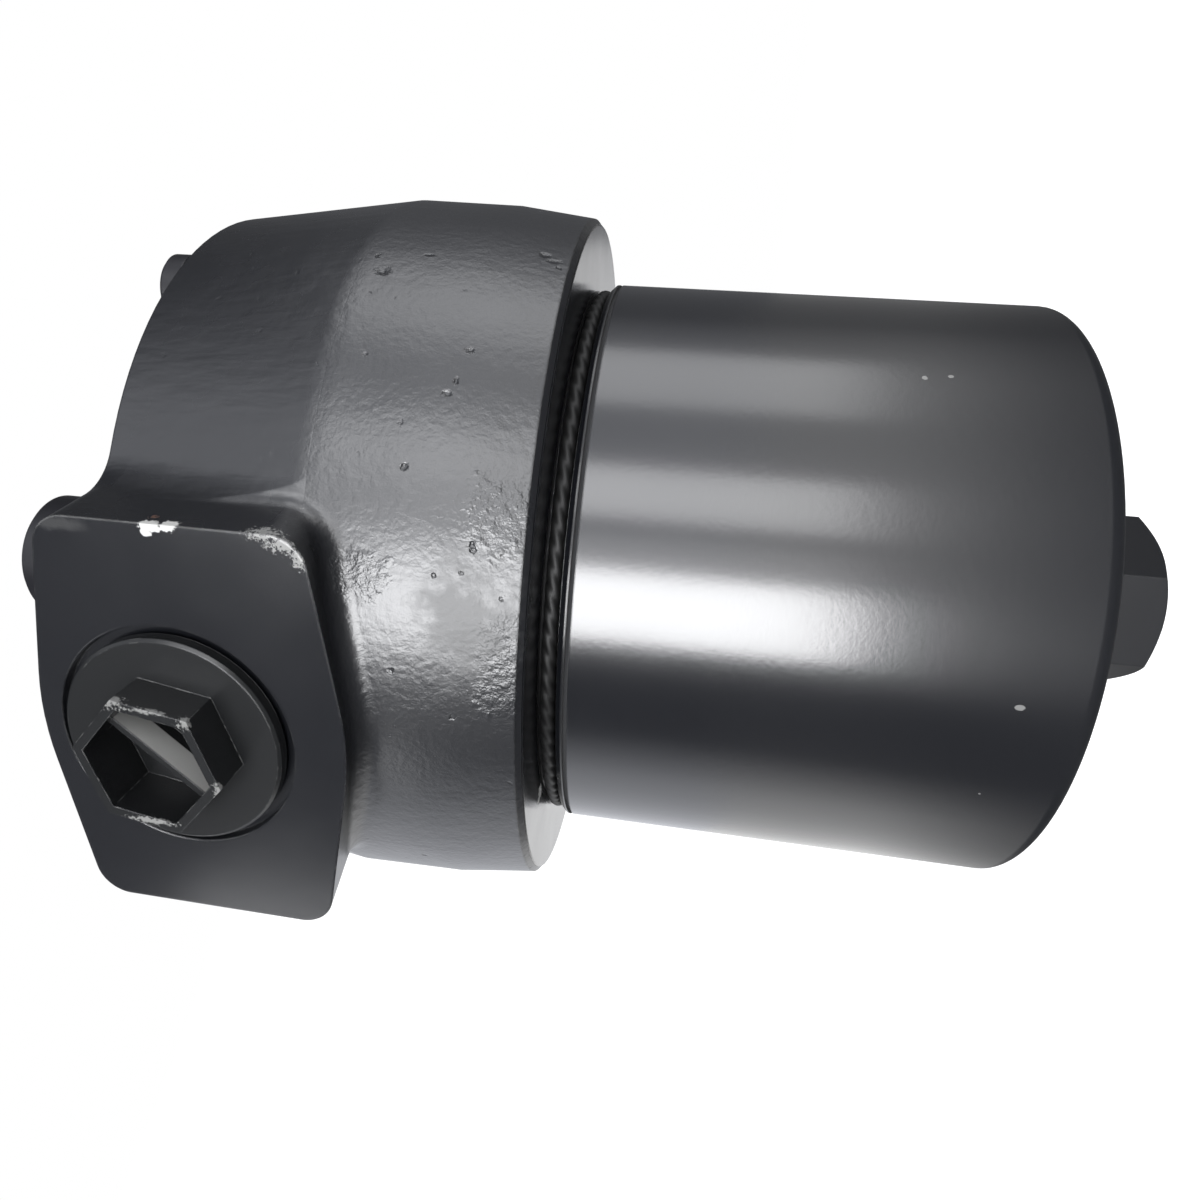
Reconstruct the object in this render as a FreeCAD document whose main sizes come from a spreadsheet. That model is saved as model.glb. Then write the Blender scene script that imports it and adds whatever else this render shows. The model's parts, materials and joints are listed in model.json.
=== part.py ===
import FreeCAD, Part
import Sketcher
import math
import os

# High pressure filter: a cast head bolted up by its top face, and a steel bowl screwed in from
# below. Z runs up the bowl axis, the origin is the centre of the head's top face, and the two
# ports look along -Y (front) and +Y (rear).

doc = FreeCAD.newDocument("filter")
dims = doc.addObject("Spreadsheet::Sheet", "Dims")
dims.Label = "Dims"

SIZES = [
    # head casting
    ("head_height", 72.5, "top face to the collar's lower face"),
    ("ridge_depth", 42.0, "top face down to the ridge between neck and collar"),
    ("collar_ridge_r", 62.6, "collar radius at the ridge"),
    ("collar_taper", 2.0, "ridge radius less the collar face radius"),
    ("collar_band", 17.0, "band below the ridge with almost no draft"),
    ("band_draft", 0.02, "draft of that band, per mm of height"),
    ("neck_taper", 5.55, "ridge radius less the neck radius carried up to the top face"),
    ("shoulder_drop", 10.6, "mounting platform down to the flat shoulder round it"),
    ("plat_x", 33.0, "half width of the mounting platform across the ports"),
    ("plat_y", 34.0, "half width of the mounting platform along the ports"),
    ("plat_corner", 13.0, "corner round of the platform"),
    ("plat_blend", 3.0, "blend at the foot of the platform"),
    ("rim_chamfer", 0.9, "machined edge of the collar face"),
    # port bosses
    ("port_drop", 25.7, "top face down to the port axis"),
    ("port_side", 7.5, "port axis off the bowl axis, towards -X"),
    ("pad_proud", 4.9, "machined port face beyond the ridge"),
    ("pad_mid_half", 22.8, "half width of the port face at its middle"),
    ("pad_end_half", 18.0, "half width of the port face at its ends"),
    ("pad_half_long", 30.2, "half length of the port face across the bowl axis"),
    ("pad_low", 2.2, "port face centre below the port axis"),
    ("pad_up", 1.0, "port face centre beside the port axis"),
    ("boss_flare", 2.6, "growth of the boss per side from the face to its root"),
    ("boss_tuck", 7.0, "draw-in of the boss side over the collar from the face to its root"),
    ("boss_root", 40.0, "depth to which the boss is carried in"),
    ("boss_blend", 8.0, "blend of the boss into the neck"),
    ("collar_blend", 3.0, "blend of the boss into the collar"),
    ("pad_corner", 5.0, "corner round of the port face"),
    ("pad_bend", 45.0, "round where the long sides of the port face bend"),
    ("saddle_room", 0.05, "growth of the barrel that joins the bosses under the platform"),
    ("spot_r", 17.1, "spot face radius, half of 34 mm for a half inch pipe port"),
    ("spot_deep", 1.5, "spot face depth"),
    ("port_r", 10.45, "port thread radius"),
    ("port_deep", 16.0, "port thread depth below the spot face"),
    ("way_r", 8.6, "oil way behind each port"),
    ("inlet_way", 32.0, "front oil way, from the spot face into the chamber"),
    # head inside
    ("bore_r", 46.45, "bowl thread bore in the head"),
    ("bore_deep", 20.0, "length of the bowl thread bore"),
    ("bore_lead", 1.2, "chamfer at the mouth of the thread bore"),
    ("nose_bore_r", 44.0, "plain bore over the bowl nose"),
    ("nose_bore_deep", 9.6, "length of the plain bore"),
    ("chamber_r", 42.0, "inlet chamber radius"),
    ("chamber_step", 2.0, "taper from the plain bore to the chamber"),
    ("chamber_bevel", 5.0, "bevel between the chamber and its roof"),
    ("roof", 20.0, "thickness of the head above the chamber"),
    ("spigot_r", 15.0, "outer radius of the outlet spigot"),
    ("spigot_bore_r", 11.0, "outlet bore radius"),
    ("spigot_end", 55.0, "top face down to the spigot's end"),
    ("bridge_r", 12.6, "wall round the outlet way across the chamber"),
    # mounting holes
    ("mount_x", 46.0, "hole spacing across the ports"),
    ("mount_y", 52.0, "hole spacing along the ports"),
    ("mount_r", 4.25, "tapping radius of an M10 hole"),
    ("mount_deep", 14.0, "depth of the mounting holes"),
    # bowl
    ("bowl_r", 50.0, "bowl outer radius"),
    ("seat_gap", 2.9, "gap between collar face and bowl shoulder"),
    ("bowl_length", 73.0, "bowl shoulder to the end rim"),
    ("bowl_bore_r", 41.0, "bowl inside radius"),
    ("bowl_floor", 8.0, "bowl floor thickness at the rim"),
    ("shoulder_chamfer", 0.8, "turned edge of the bowl shoulder"),
    ("line_drop", 1.1, "bowl shoulder down to the turned line"),
    ("line_width", 0.6, "turned line behind the shoulder"),
    ("line_deep", 0.7, "depth of the turned line"),
    ("end_round", 2.4, "round of the bowl's end rim"),
    ("crown", 5.5, "rise of the bowl's end from rim to hexagon"),
    ("crown_flat", 5.0, "flat round the hexagon's root"),
    ("hex_flats", 27.0, "hexagon across flats"),
    ("hex_bevel", 1.0, "bevel of the hexagon's end inside its flats"),
    ("hex_height", 18.9, "hexagon length below the crown"),
    ("hex_turn", 7.0, "turn of the hexagon in degrees"),
    ("sump_deep", 1.5, "sump in the bowl floor"),
    ("sump_r", 13.9, "sump radius at its bottom"),
    ("sump_top_r", 18.9, "sump radius at the bowl floor"),
    ("floor_bevel", 3.0, "bevel between the bowl floor and its wall"),
    ("neck_start", 2.0, "bowl shoulder up to where the inside narrows"),
    ("neck_stop", 6.0, "bowl shoulder up to the nose's inside"),
    ("thread_r", 46.4, "bowl thread radius"),
    ("thread_short", 1.2, "bowl thread's end below its bore's end"),
    ("thread_lead", 1.0, "chamfer at the thread's end"),
    ("thread_relief", 0.8, "relief between thread and nose"),
    ("nose_r", 43.9, "bowl nose radius"),
    ("nose_bore", 38.5, "bowl nose inside radius"),
    ("nose_long", 8.6, "nose length above the thread"),
    ("nose_edge", 0.6, "chamfer of the nose"),
    ("gland_r", 40.6, "seal groove floor radius"),
    ("gland_drop", 1.7, "nose's end down to the seal groove"),
    ("gland_long", 4.9, "seal groove length"),
    # rings
    ("dust_wire", 1.15, "dust ring section radius"),
    ("ring_gap", 0.3, "room round each ring"),
    ("oring_wire", 1.35, "bowl ring section radius"),
    ("backup_thick", 1.2, "backup ring thickness"),
    ("backup_room", 0.4, "room round the backup ring"),
    # drain
    ("drain_r", 4.9, "drain thread radius"),
    ("drain_head_r", 6.1, "drain plug head radius"),
    ("drain_head", 2.1, "drain plug head height"),
    ("drain_washer_r", 6.9, "drain washer outer radius"),
    ("drain_washer", 1.2, "drain washer thickness"),
    ("drain_shank", 8.0, "drain plug thread length"),
    ("drain_key", 5.0, "drain plug socket across flats"),
    ("drain_key_deep", 2.9, "drain plug socket depth"),
    # port plugs
    ("flange_r", 15.7, "plug flange radius"),
    ("flange_thick", 2.0, "plug flange thickness"),
    ("plug_seal", 0.9, "plug seal thickness"),
    ("seal_width", 3.2, "plug seal width"),
    ("plug_shank_r", 10.4, "plug thread radius"),
    ("plug_shank", 11.0, "plug thread length"),
    ("flange_edge", 0.4, "bevel of the plug flange"),
    ("boss_flats", 18.0, "hollow hexagon across flats"),
    ("boss_high", 6.0, "hollow hexagon height above the flange"),
    ("boss_wall", 1.3, "hollow hexagon wall"),
    ("boss_hollow", 8.0, "depth of the hollow from its rim"),
    ("rib_thick", 1.0, "rib across the hollow"),
    ("rib_low", 2.6, "rib top below the rim"),
    # top plugs
    ("gauge_x", 11.5, "indicator plug position across the ports"),
    ("gauge_in", 15.3, "port face in to the indicator plug"),
    ("gauge_seat", 7.5, "platform down to the seat cut for the indicator plug"),
    ("gauge_head_r", 8.8, "indicator plug head radius"),
    ("gauge_head", 5.8, "indicator plug head height"),
    ("gauge_shank_r", 6.0, "indicator plug thread radius"),
    ("gauge_key", 8.0, "indicator plug socket across flats"),
    ("gauge_key_deep", 5.8, "indicator plug socket depth"),
    ("vent_in", 5.06, "neck radius less the vent plug's distance from the axis"),
    ("vent_turn", 24.8, "vent plug position in degrees from +X towards the front"),
    ("vent_head_r", 5.7, "vent plug head radius"),
    ("vent_head", 3.6, "vent plug head height"),
    ("vent_shank_r", 3.9, "vent plug thread radius"),
    ("vent_key", 5.0, "vent plug socket across flats"),
    ("vent_key_deep", 4.0, "vent plug socket depth"),
    ("vent_way_in", 0.76, "start of the vent drilling, as a share of the plug's distance"),
    ("vent_way_long", 16.8, "length of the vent drilling"),
    ("top_shank", 10.0, "thread length of both top plugs"),
    ("top_washer", 1.1, "washer thickness of both top plugs"),
    ("shank_room", 1.0, "thread end above the bottom of its hole"),
    ("plug_bevel", 0.6, "bevel on the head of each screw plug"),
    ("top_way_r", 2.0, "slanted drilling from a top plug to the oil"),
    ("seat_room", 1.2, "seat beyond the plug head"),
    ("fit", 0.05, "radial clearance of a thread drawn as a plain cylinder"),
    ("past", 1.0, "run of a cut past the surface it opens"),
    ("lap", 2.0, "run of one joined shape into the next"),
    ("run_out", 3.0, "run of a cut through open space"),
    # element
    ("cap_r", 34.5, "element cap radius"),
    ("cap_thick", 2.6, "element cap thickness"),
    ("element_top", 50.0, "top face down to the element's upper cap"),
    ("element_long", 77.0, "element length over its caps"),
    ("hub_r", 21.0, "upper cap hub radius"),
    ("hub_high", 5.6, "upper cap hub height"),
    ("hub_bore", 15.4, "upper cap bore"),
    ("hub_lead", 0.8, "chamfer at the hub's mouth"),
    ("hub_gland_r", 18.4, "ring groove floor in the hub"),
    ("hub_gland_drop", 3.4, "hub's end down to the middle of the ring groove"),
    ("hub_gland_room", 0.35, "room beside the ring in its groove"),
    ("spigot_wire", 1.3, "spigot ring section radius"),
    ("lip_r", 22.0, "outer radius of the lower cap's spring guide"),
    ("lip_wall", 1.0, "wall of the spring guide"),
    ("lip_high", 1.6, "height of the spring guide"),
    ("core_r", 17.2, "core tube outer radius"),
    ("core_wall", 1.2, "core tube wall"),
    ("core_hole", 2.2, "core tube hole radius"),
    ("media_in", 17.9, "pleat root radius"),
    ("media_out", 33.2, "pleat tip radius"),
    ("media_thick", 1.3, "thickness of one folded pleat"),
    ("media_wall", 0.9, "thickness of the folds at the root"),
    ("pleat_tip", 0.5, "length of a pleat's tapered tip"),
    # bypass in the lower cap
    ("seat_r", 8.0, "bypass seat opening radius"),
    ("poppet_r", 10.0, "bypass poppet radius"),
    ("poppet_thick", 2.4, "bypass poppet thickness"),
    ("poppet_edge", 0.8, "chamfer of the poppet"),
    ("poppet_room", 0.8, "room round the poppet in the cage's foot"),
    ("stem_r", 2.5, "bypass stem radius"),
    ("stem_out", 1.5, "stem above the cage"),
    ("cage_r", 15.4, "bypass cage radius"),
    ("cage_high", 24.0, "bypass cage height"),
    ("cage_wall", 1.6, "bypass cage wall"),
    ("window_low", 3.0, "bypass seat up to the cage windows"),
    ("window_top", 2.0, "cage windows up to the cage's end wall"),
    ("bypass_coil_r", 6.2, "bypass spring radius"),
    ("bypass_wire", 0.7, "bypass spring wire radius"),
    # spring below the element
    ("coil_r", 24.0, "element spring radius"),
    ("coil_wire", 0.9, "element spring wire radius"),
]
FORMULAS = [
    ("collar_face_r", "=collar_ridge_r - collar_taper", "collar radius at its lower face"),
    ("neck_top_r", "=collar_ridge_r - neck_taper", "neck radius carried up to the top face"),
    ("port_reach", "=collar_ridge_r + pad_proud", "bowl axis to the machined port face"),
    ("gauge_y", "=port_reach - gauge_in", "indicator plug position towards the front"),
    ("vent_x", "=(neck_top_r - vent_in) * cos(vent_turn)", "vent plug position along X"),
    ("vent_y", "=(neck_top_r - vent_in) * sin(vent_turn)", "vent plug position along -Y"),
    ("face_z", "=-head_height", "collar face"),
    ("ridge_z", "=-ridge_depth", "ridge"),
    ("port_z", "=-port_drop", "port axis height"),
    ("shoulder_z", "=-head_height - seat_gap", "bowl shoulder"),
    ("bore_top_z", "=-head_height + bore_deep", "end of the thread bore"),
    ("nose_bore_z", "=-head_height + bore_deep + nose_bore_deep", "end of the plain bore"),
    ("roof_z", "=-roof", "chamber roof"),
    ("thread_top_z", "=-head_height + bore_deep - thread_short", "end of the bowl thread"),
    ("nose_top_z", "=thread_top_z + nose_long", "end of the bowl nose"),
    ("rim_z", "=shoulder_z - bowl_length", "end rim of the bowl"),
    ("floor_z", "=rim_z + bowl_floor", "bowl floor inside"),
    ("crown_z", "=rim_z - crown", "hexagon root"),
    ("hex_z", "=crown_z - hex_height", "hexagon end"),
    ("gland_z", "=nose_top_z - gland_long - gland_drop", "groove start"),
    ("hex_r", "=hex_flats / 2 / cos(30)", "hexagon corner radius"),
    ("dust_r", "=thread_r + ring_gap + dust_wire", "dust ring centre radius"),
    ("oring_r", "=gland_r + ring_gap + oring_wire", "bowl ring centre radius"),
    ("element_z", "=-element_top", "upper cap top"),
    ("element_end_z", "=-element_top - element_long", "lower cap underside"),
    ("spot_y", "=port_reach - spot_deep", "spot face"),
    ("plug_y", "=port_reach - spot_deep + plug_seal", "underside of the plug flange"),
    ("spigot_ring_r", "=spigot_r + hub_gland_room + spigot_wire", "spigot ring centre radius"),
    ("spigot_ring_z", "=-element_top + hub_high - hub_gland_drop", "spigot ring height"),
    ("seat_z", "=element_end_z + cap_thick", "bypass seat"),
    ("cage_top_z", "=seat_z + cage_high", "cage top"),
]


def fill_sheet():
    row = 1
    for alias, value, note in SIZES + FORMULAS:
        dims.set("A%d" % row, alias)
        dims.set("B%d" % row, str(value))
        dims.set("C%d" % row, note)
        dims.setAlias("B%d" % row, alias)
        row += 1


fill_sheet()
doc.recompute()

NAMES = sorted([alias for alias, value, note in SIZES + FORMULAS], key=len, reverse=True)


def bind(text):
    # put the sheet's name before each alias in an expression
    out = ""
    word = ""
    for letter in str(text) + " ":
        if letter.isalnum() or letter == "_":
            word += letter
        else:
            out += ("Dims." + word if word in NAMES else word) + letter
            word = ""
    return out.strip()


def new_body(label):
    body = doc.addObject("PartDesign::Body", label)
    body.Label = label
    return body


def plane(body, role):
    return [o for o in body.Origin.OriginFeatures if o.Role == role][0]


def new_sketch(body, name, role, offset=None):
    sketch = body.newObject("Sketcher::SketchObject", name)
    sketch.AttachmentSupport = [(plane(body, role), "")]
    sketch.MapMode = "FlatFace"
    if offset is not None:
        sketch.setExpression("AttachmentOffset.Base.z", bind(offset))
    return sketch


def pin_point(sketch, geo, pos, x, y):
    point = sketch.getPoint(geo, pos)
    for kind, value, text in (("DistanceX", point.x, x), ("DistanceY", point.y, y)):
        index = sketch.addConstraint(Sketcher.Constraint(kind, -1, 1, geo, pos, value))
        sketch.setExpression("Constraints[%d]" % index, bind(text))


def add_polygon(sketch, points):
    # a closed outline whose every corner is placed by two bound distances
    count = len(points)
    guess = []
    for i in range(count):
        angle = 2 * math.pi * i / count
        guess.append(FreeCAD.Vector(30 + 9 * math.cos(angle), -30 + 9 * math.sin(angle), 0))
    first = sketch.GeometryCount
    for i in range(count):
        sketch.addGeometry(Part.LineSegment(guess[i], guess[(i + 1) % count]), False)
    for i in range(count):
        after = first + (i + 1) % count
        sketch.addConstraint(Sketcher.Constraint("Coincident", first + i, 2, after, 1))
    for i in range(count):
        pin_point(sketch, first + i, 1, points[i][0], points[i][1])


def add_circle(sketch, x, y, r):
    geo = sketch.addGeometry(
        Part.Circle(FreeCAD.Vector(20, -20, 0), FreeCAD.Vector(0, 0, 1), 3), False
    )
    pin_point(sketch, geo, 3, x, y)
    index = sketch.addConstraint(Sketcher.Constraint("Radius", geo, 3.0))
    sketch.setExpression("Constraints[%d]" % index, bind(r))
    return geo


def turned(body, name, points, cut=False):
    # a profile of (radius, height) pairs turned about Z
    sketch = new_sketch(body, name + "_profile", "XZ_Plane")
    add_polygon(sketch, points)
    kind = "PartDesign::Groove" if cut else "PartDesign::Revolution"
    feature = body.newObject(kind, name)
    feature.Profile = sketch
    feature.ReferenceAxis = (sketch, ["V_Axis"])
    feature.Angle = 360
    return feature


def padded(body, name, sketch, length, reverse=False, cut=False):
    kind = "PartDesign::Pocket" if cut else "PartDesign::Pad"
    feature = body.newObject(kind, name)
    feature.Profile = sketch
    feature.setExpression("Length", bind(length))
    feature.Reversed = reverse
    return feature


def hexagon(sketch, corner, turn="0"):
    points = []
    for i in range(6):
        points.append(
            (
                "(%s) * cos(%s + %d)" % (corner, turn, 60 * i),
                "(%s) * sin(%s + %d)" % (corner, turn, 60 * i),
            )
        )
    add_polygon(sketch, points)


def pick_edges(shape, test):
    return ["Edge%d" % (i + 1) for i, edge in enumerate(shape.Edges) if test(edge)]


def rounded(body, name, test, radius, kind="PartDesign::Fillet"):
    doc.recompute()
    base = body.Tip
    names = pick_edges(base.Shape, test)
    feature = body.newObject(kind, name)
    feature.Base = (base, names)
    feature.setExpression("Radius" if kind.endswith("Fillet") else "Size", bind(radius))
    doc.recompute()
    return feature


def size(alias):
    value = dims.get(alias)
    return float(getattr(value, "Value", value))


def ring_at(r, z, slack=0.05):
    # edges that are whole circles about Z of a given radius and height
    def test(edge):
        curve = edge.Curve
        if not isinstance(curve, Part.Circle):
            return False
        near_axis = math.hypot(curve.Center.x, curve.Center.y) < slack
        return near_axis and abs(curve.Radius - r) < slack and abs(curve.Center.z - z) < slack

    return test


# head outside: a collar body and a neck body, each with both port bosses blended in, and a
# crown made of the flat shoulder, the mounting platform and the barrel that joins the bosses;
# the casting is what collar, neck and crown share
def pad_outline(body, name, offset, grow, low):
    # the six-cornered outline of a port face, grown further in, its collar side by its own amount
    sketch = new_sketch(body, name, "XZ_Plane", offset)
    x = "(-port_side + pad_up)"
    z = "(port_z - pad_low)"
    add_polygon(
        sketch,
        [
            (x + " + pad_half_long + " + grow, z + " + pad_end_half + " + grow),
            (x, z + " + pad_mid_half + " + grow),
            (x + " - pad_half_long - " + grow, z + " + pad_end_half + " + grow),
            (x + " - pad_half_long - " + grow, z + " - pad_end_half - " + low),
            (x, z + " - pad_mid_half - " + low),
            (x + " + pad_half_long + " + grow, z + " - pad_end_half - " + low),
        ],
    )
    return sketch


def port_boss(body, side, sign, root="(port_reach - boss_root)", grow="0", share="1"):
    # a boss from the port face in to its root; share is the root's depth over boss_root
    face = pad_outline(body, side + "_face", sign + "port_reach", grow, grow)
    foot = pad_outline(body, side + "_root", sign + root, "(%s + boss_flare * %s)" % (grow, share),
                       "(%s - boss_tuck * %s)" % (grow, share))
    loft = body.newObject("PartDesign::AdditiveLoft", side + "_boss")
    loft.Profile = face
    loft.Sections = [foot]
    loft.Ruled = True
    doc.recompute()


def boss_long_edge(middle):
    # edges running in from a port face, at its middle or at its four corners
    reach = size("port_reach")
    mid_x = -size("port_side") + size("pad_up")

    def test(edge):
        if len(edge.Vertexes) != 2:
            return False
        ends = [v.Point for v in edge.Vertexes]
        on_face = [p for p in ends if abs(abs(p.y) - reach) < 0.01]
        if len(on_face) != 1 or abs(ends[0].y - ends[1].y) < 1:
            return False
        return (abs(on_face[0].x - mid_x) < 1.0) == middle

    return test


def boss_root_edge(edge):
    # the line along which a boss meets the turned body
    reach = size("port_reach")
    if len(edge.Vertexes) != 2 or abs(edge.CenterOfMass.y) < reach - size("boss_root"):
        return False
    if max(abs(v.Point.y) for v in edge.Vertexes) > reach - 0.5:
        return False
    low = -size("head_height") + 1
    return low < edge.CenterOfMass.z < -1


def round_boss(body, label):
    rounded(body, label + "_corners", boss_long_edge(False), "pad_corner")
    rounded(body, label + "_middles", boss_long_edge(True), "pad_bend")


def bossed_body(label, outline, blend):
    body = new_body(label)
    turned(body, label + "_turned", outline)
    port_boss(body, label + "_front", "")
    port_boss(body, label + "_rear", "-")
    round_boss(body, label)
    rounded(body, label + "_blends", boss_root_edge, blend)
    return body


TAPER = "((collar_ridge_r - neck_top_r) / ridge_depth)"
collar = bossed_body(
    "collar_body",
    [
        ("0", "0"),
        ("collar_ridge_r + ridge_depth * band_draft", "0"),
        ("collar_ridge_r - collar_band * band_draft", "ridge_z - collar_band"),
        ("collar_face_r", "face_z"),
        ("0", "face_z"),
    ],
    "collar_blend",
)
neck = bossed_body(
    "neck_body",
    [("0", "0"), ("neck_top_r", "0"), ("neck_top_r + head_height * " + TAPER, "face_z"),
     ("0", "face_z")],
    "boss_blend",
)

# the barrel under the platform: a boss carried in to the middle, and its mirror image
rear_barrel = new_body("rear_barrel")
port_boss(rear_barrel, "rear_barrel", "-", "0 mm", "saddle_room", "port_reach / boss_root")
round_boss(rear_barrel, "rear_barrel")
front_barrel = doc.addObject("Part::Mirroring", "front_barrel")
front_barrel.Source = rear_barrel
front_barrel.Normal = FreeCAD.Vector(0, 1, 0)

lid = new_body("lid_body")
turned(
    lid,
    "lid_turned",
    [
        ("0", "-shoulder_drop"),
        ("2 * neck_top_r", "-shoulder_drop"),
        ("2 * neck_top_r", "face_z + rim_chamfer"),
        ("collar_face_r", "face_z + rim_chamfer"),
        ("collar_face_r - rim_chamfer", "face_z"),
        ("0", "face_z"),
    ],
)
platform = new_sketch(lid, "platform_outline", "XY_Plane", "0")
add_polygon(platform, [("plat_x", "plat_y"), ("-plat_x", "plat_y"), ("-plat_x", "-plat_y"),
                       ("plat_x", "-plat_y")])
padded(lid, "platform", platform, "shoulder_drop", reverse=True)


def upright_edge(edge):
    # the corners of the platform
    ends = [v.Point for v in edge.Vertexes]
    if len(ends) != 2:
        return False
    tall = abs(ends[0].z - ends[1].z) > size("shoulder_drop") / 2
    return tall and math.hypot(ends[0].x, ends[0].y) < size("neck_top_r")


def level_edge(z):
    # the platform's edges at one height
    def test(edge):
        near = max(abs(v.Point.z - z) for v in edge.Vertexes) < 0.01
        flat = abs(edge.CenterOfMass.z - z) < 0.01
        return near and flat and edge.Length < 4 * size("plat_y")

    return test


rounded(lid, "platform_corners", upright_edge, "plat_corner")
rounded(lid, "platform_foot", level_edge(-size("shoulder_drop")), "plat_blend")
rounded(lid, "platform_rim", level_edge(0), "rim_chamfer", "PartDesign::Chamfer")
crown = doc.addObject("Part::MultiFuse", "crown")
crown.Shapes = [lid, front_barrel, rear_barrel]
casting = doc.addObject("Part::MultiCommon", "casting")
casting.Shapes = [collar, neck, crown]
doc.recompute()


ALONG = {
    "Z": FreeCAD.Rotation(FreeCAD.Vector(0, 0, 1), 0),
    "-Z": FreeCAD.Rotation(FreeCAD.Vector(1, 0, 0), 180),
    "Y": FreeCAD.Rotation(FreeCAD.Vector(1, 0, 0), -90),
    "-Y": FreeCAD.Rotation(FreeCAD.Vector(1, 0, 0), 90),
    "X": FreeCAD.Rotation(FreeCAD.Vector(0, 1, 0), 90),
}


def place(obj, x, y, z, along="Z"):
    obj.Placement = FreeCAD.Placement(FreeCAD.Vector(0, 0, 0), ALONG[along])
    for axis, text in (("x", x), ("y", y), ("z", z)):
        if str(text) != "0":
            obj.setExpression("Placement.Base." + axis, bind(text))
    return obj


def rod(name, r, length, x, y, z, along="Z"):
    obj = doc.addObject("Part::Cylinder", name)
    obj.setExpression("Radius", bind(r))
    obj.setExpression("Height", bind(length))
    return place(obj, x, y, z, along)


def prism(name, corner, length, x, y, z, along="Z"):
    obj = doc.addObject("Part::Prism", name)
    obj.Polygon = 6
    obj.setExpression("Circumradius", bind(corner))
    obj.setExpression("Height", bind(length))
    return place(obj, x, y, z, along)


def ring(name, big, small, z, along="Z", y="0", x="0"):
    obj = doc.addObject("Part::Torus", name)
    obj.setExpression("Radius1", bind(big))
    obj.setExpression("Radius2", bind(small))
    return place(obj, x, y, z, along)


def join(name, shapes):
    obj = doc.addObject("Part::MultiFuse", name)
    obj.Shapes = shapes
    obj.Label = name
    return obj


def cut(name, base, tool):
    obj = doc.addObject("Part::Cut", name)
    obj.Base = base
    obj.Tool = tool
    obj.Label = name
    return obj


# head inside: chamber and bores cut out, then the spigot and its bridge to the rear port
hollow = new_body("head_hollow")
turned(
    hollow,
    "hollow_turned",
    [
        ("0", "face_z - past"),
        ("bore_r + bore_lead + past", "face_z - past"),
        ("bore_r", "face_z + bore_lead"),
        ("bore_r", "bore_top_z"),
        ("nose_bore_r", "bore_top_z"),
        ("nose_bore_r", "nose_bore_z"),
        ("chamber_r", "nose_bore_z + chamber_step"),
        ("chamber_r", "roof_z - chamber_bevel"),
        ("chamber_r - chamber_bevel", "roof_z"),
        ("0", "roof_z"),
    ],
)
shell = cut("head_shell", casting, hollow)
spigot = rod("spigot", "spigot_r", "spigot_end - roof + lap", "0", "0", "-spigot_end")
bridge = rod("bridge", "bridge_r", "chamber_r + lap", "-port_side", "0", "port_z", "Y")
solid = join("head_solid", [shell, spigot, bridge])


def port_cut(side, sign, way_long):
    out, back = ("Y", "-Y") if sign > 0 else ("-Y", "Y")
    y = ("" if sign > 0 else "-") + "spot_y"
    return [
        rod(side + "_spot", "spot_r", "spot_deep + run_out", "-port_side", y, "port_z", out),
        rod(side + "_port", "port_r", "port_deep", "-port_side", y, "port_z", back),
        rod(side + "_way", "way_r", way_long, "-port_side", y, "port_z", back),
    ]


tools = port_cut("front", -1, "inlet_way") + port_cut("rear", 1, "spot_y - lap")
tools.append(
    rod("outlet_bore", "spigot_bore_r", "spigot_end - port_drop + way_r + lap + past", "0", "0",
        "-spigot_end - past")
)
for i in range(4):
    tools.append(
        rod(
            "mount_hole_%d" % (i + 1),
            "mount_r",
            "mount_deep + past",
            ("" if i % 2 else "-") + "mount_x / 2",
            ("" if i < 2 else "-") + "mount_y / 2",
            "-mount_deep",
        )
    )


def slanted(obj, out_x, out_y, out_z):
    # turn a rod that stands along Z to point that way
    way = FreeCAD.Rotation(FreeCAD.Vector(0, 0, 1), FreeCAD.Vector(out_x, out_y, out_z))
    obj.Placement = FreeCAD.Placement(obj.Placement.Base, way)
    return obj


tools.append(rod("gauge_seat_cut", "gauge_head_r + seat_room", "gauge_seat", "gauge_x",
                 "-gauge_y", "-gauge_seat"))
tools.append(rod("gauge_bore", "gauge_shank_r + fit", "top_shank + past", "gauge_x", "-gauge_y",
                 "-gauge_seat - top_shank"))
tools.append(rod("vent_bore", "vent_shank_r + fit", "top_shank + past", "vent_x", "-vent_y",
                 "-shoulder_drop - top_shank"))
gauge_way = rod("gauge_way", "top_way_r", "gauge_x + port_side", "-port_side + gauge_x / 2",
                "-gauge_y", "port_z")
tools.append(slanted(gauge_way, 1, 0, 1))
vent_way = rod("vent_way", "top_way_r", "vent_way_long", "vent_x * vent_way_in",
               "-vent_y * vent_way_in", "-roof - top_shank")
tools.append(slanted(vent_way, size("vent_x"), -size("vent_y"), size("chamber_r")))
filter_head = cut("filter_head", solid, join("head_tools", tools))


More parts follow.
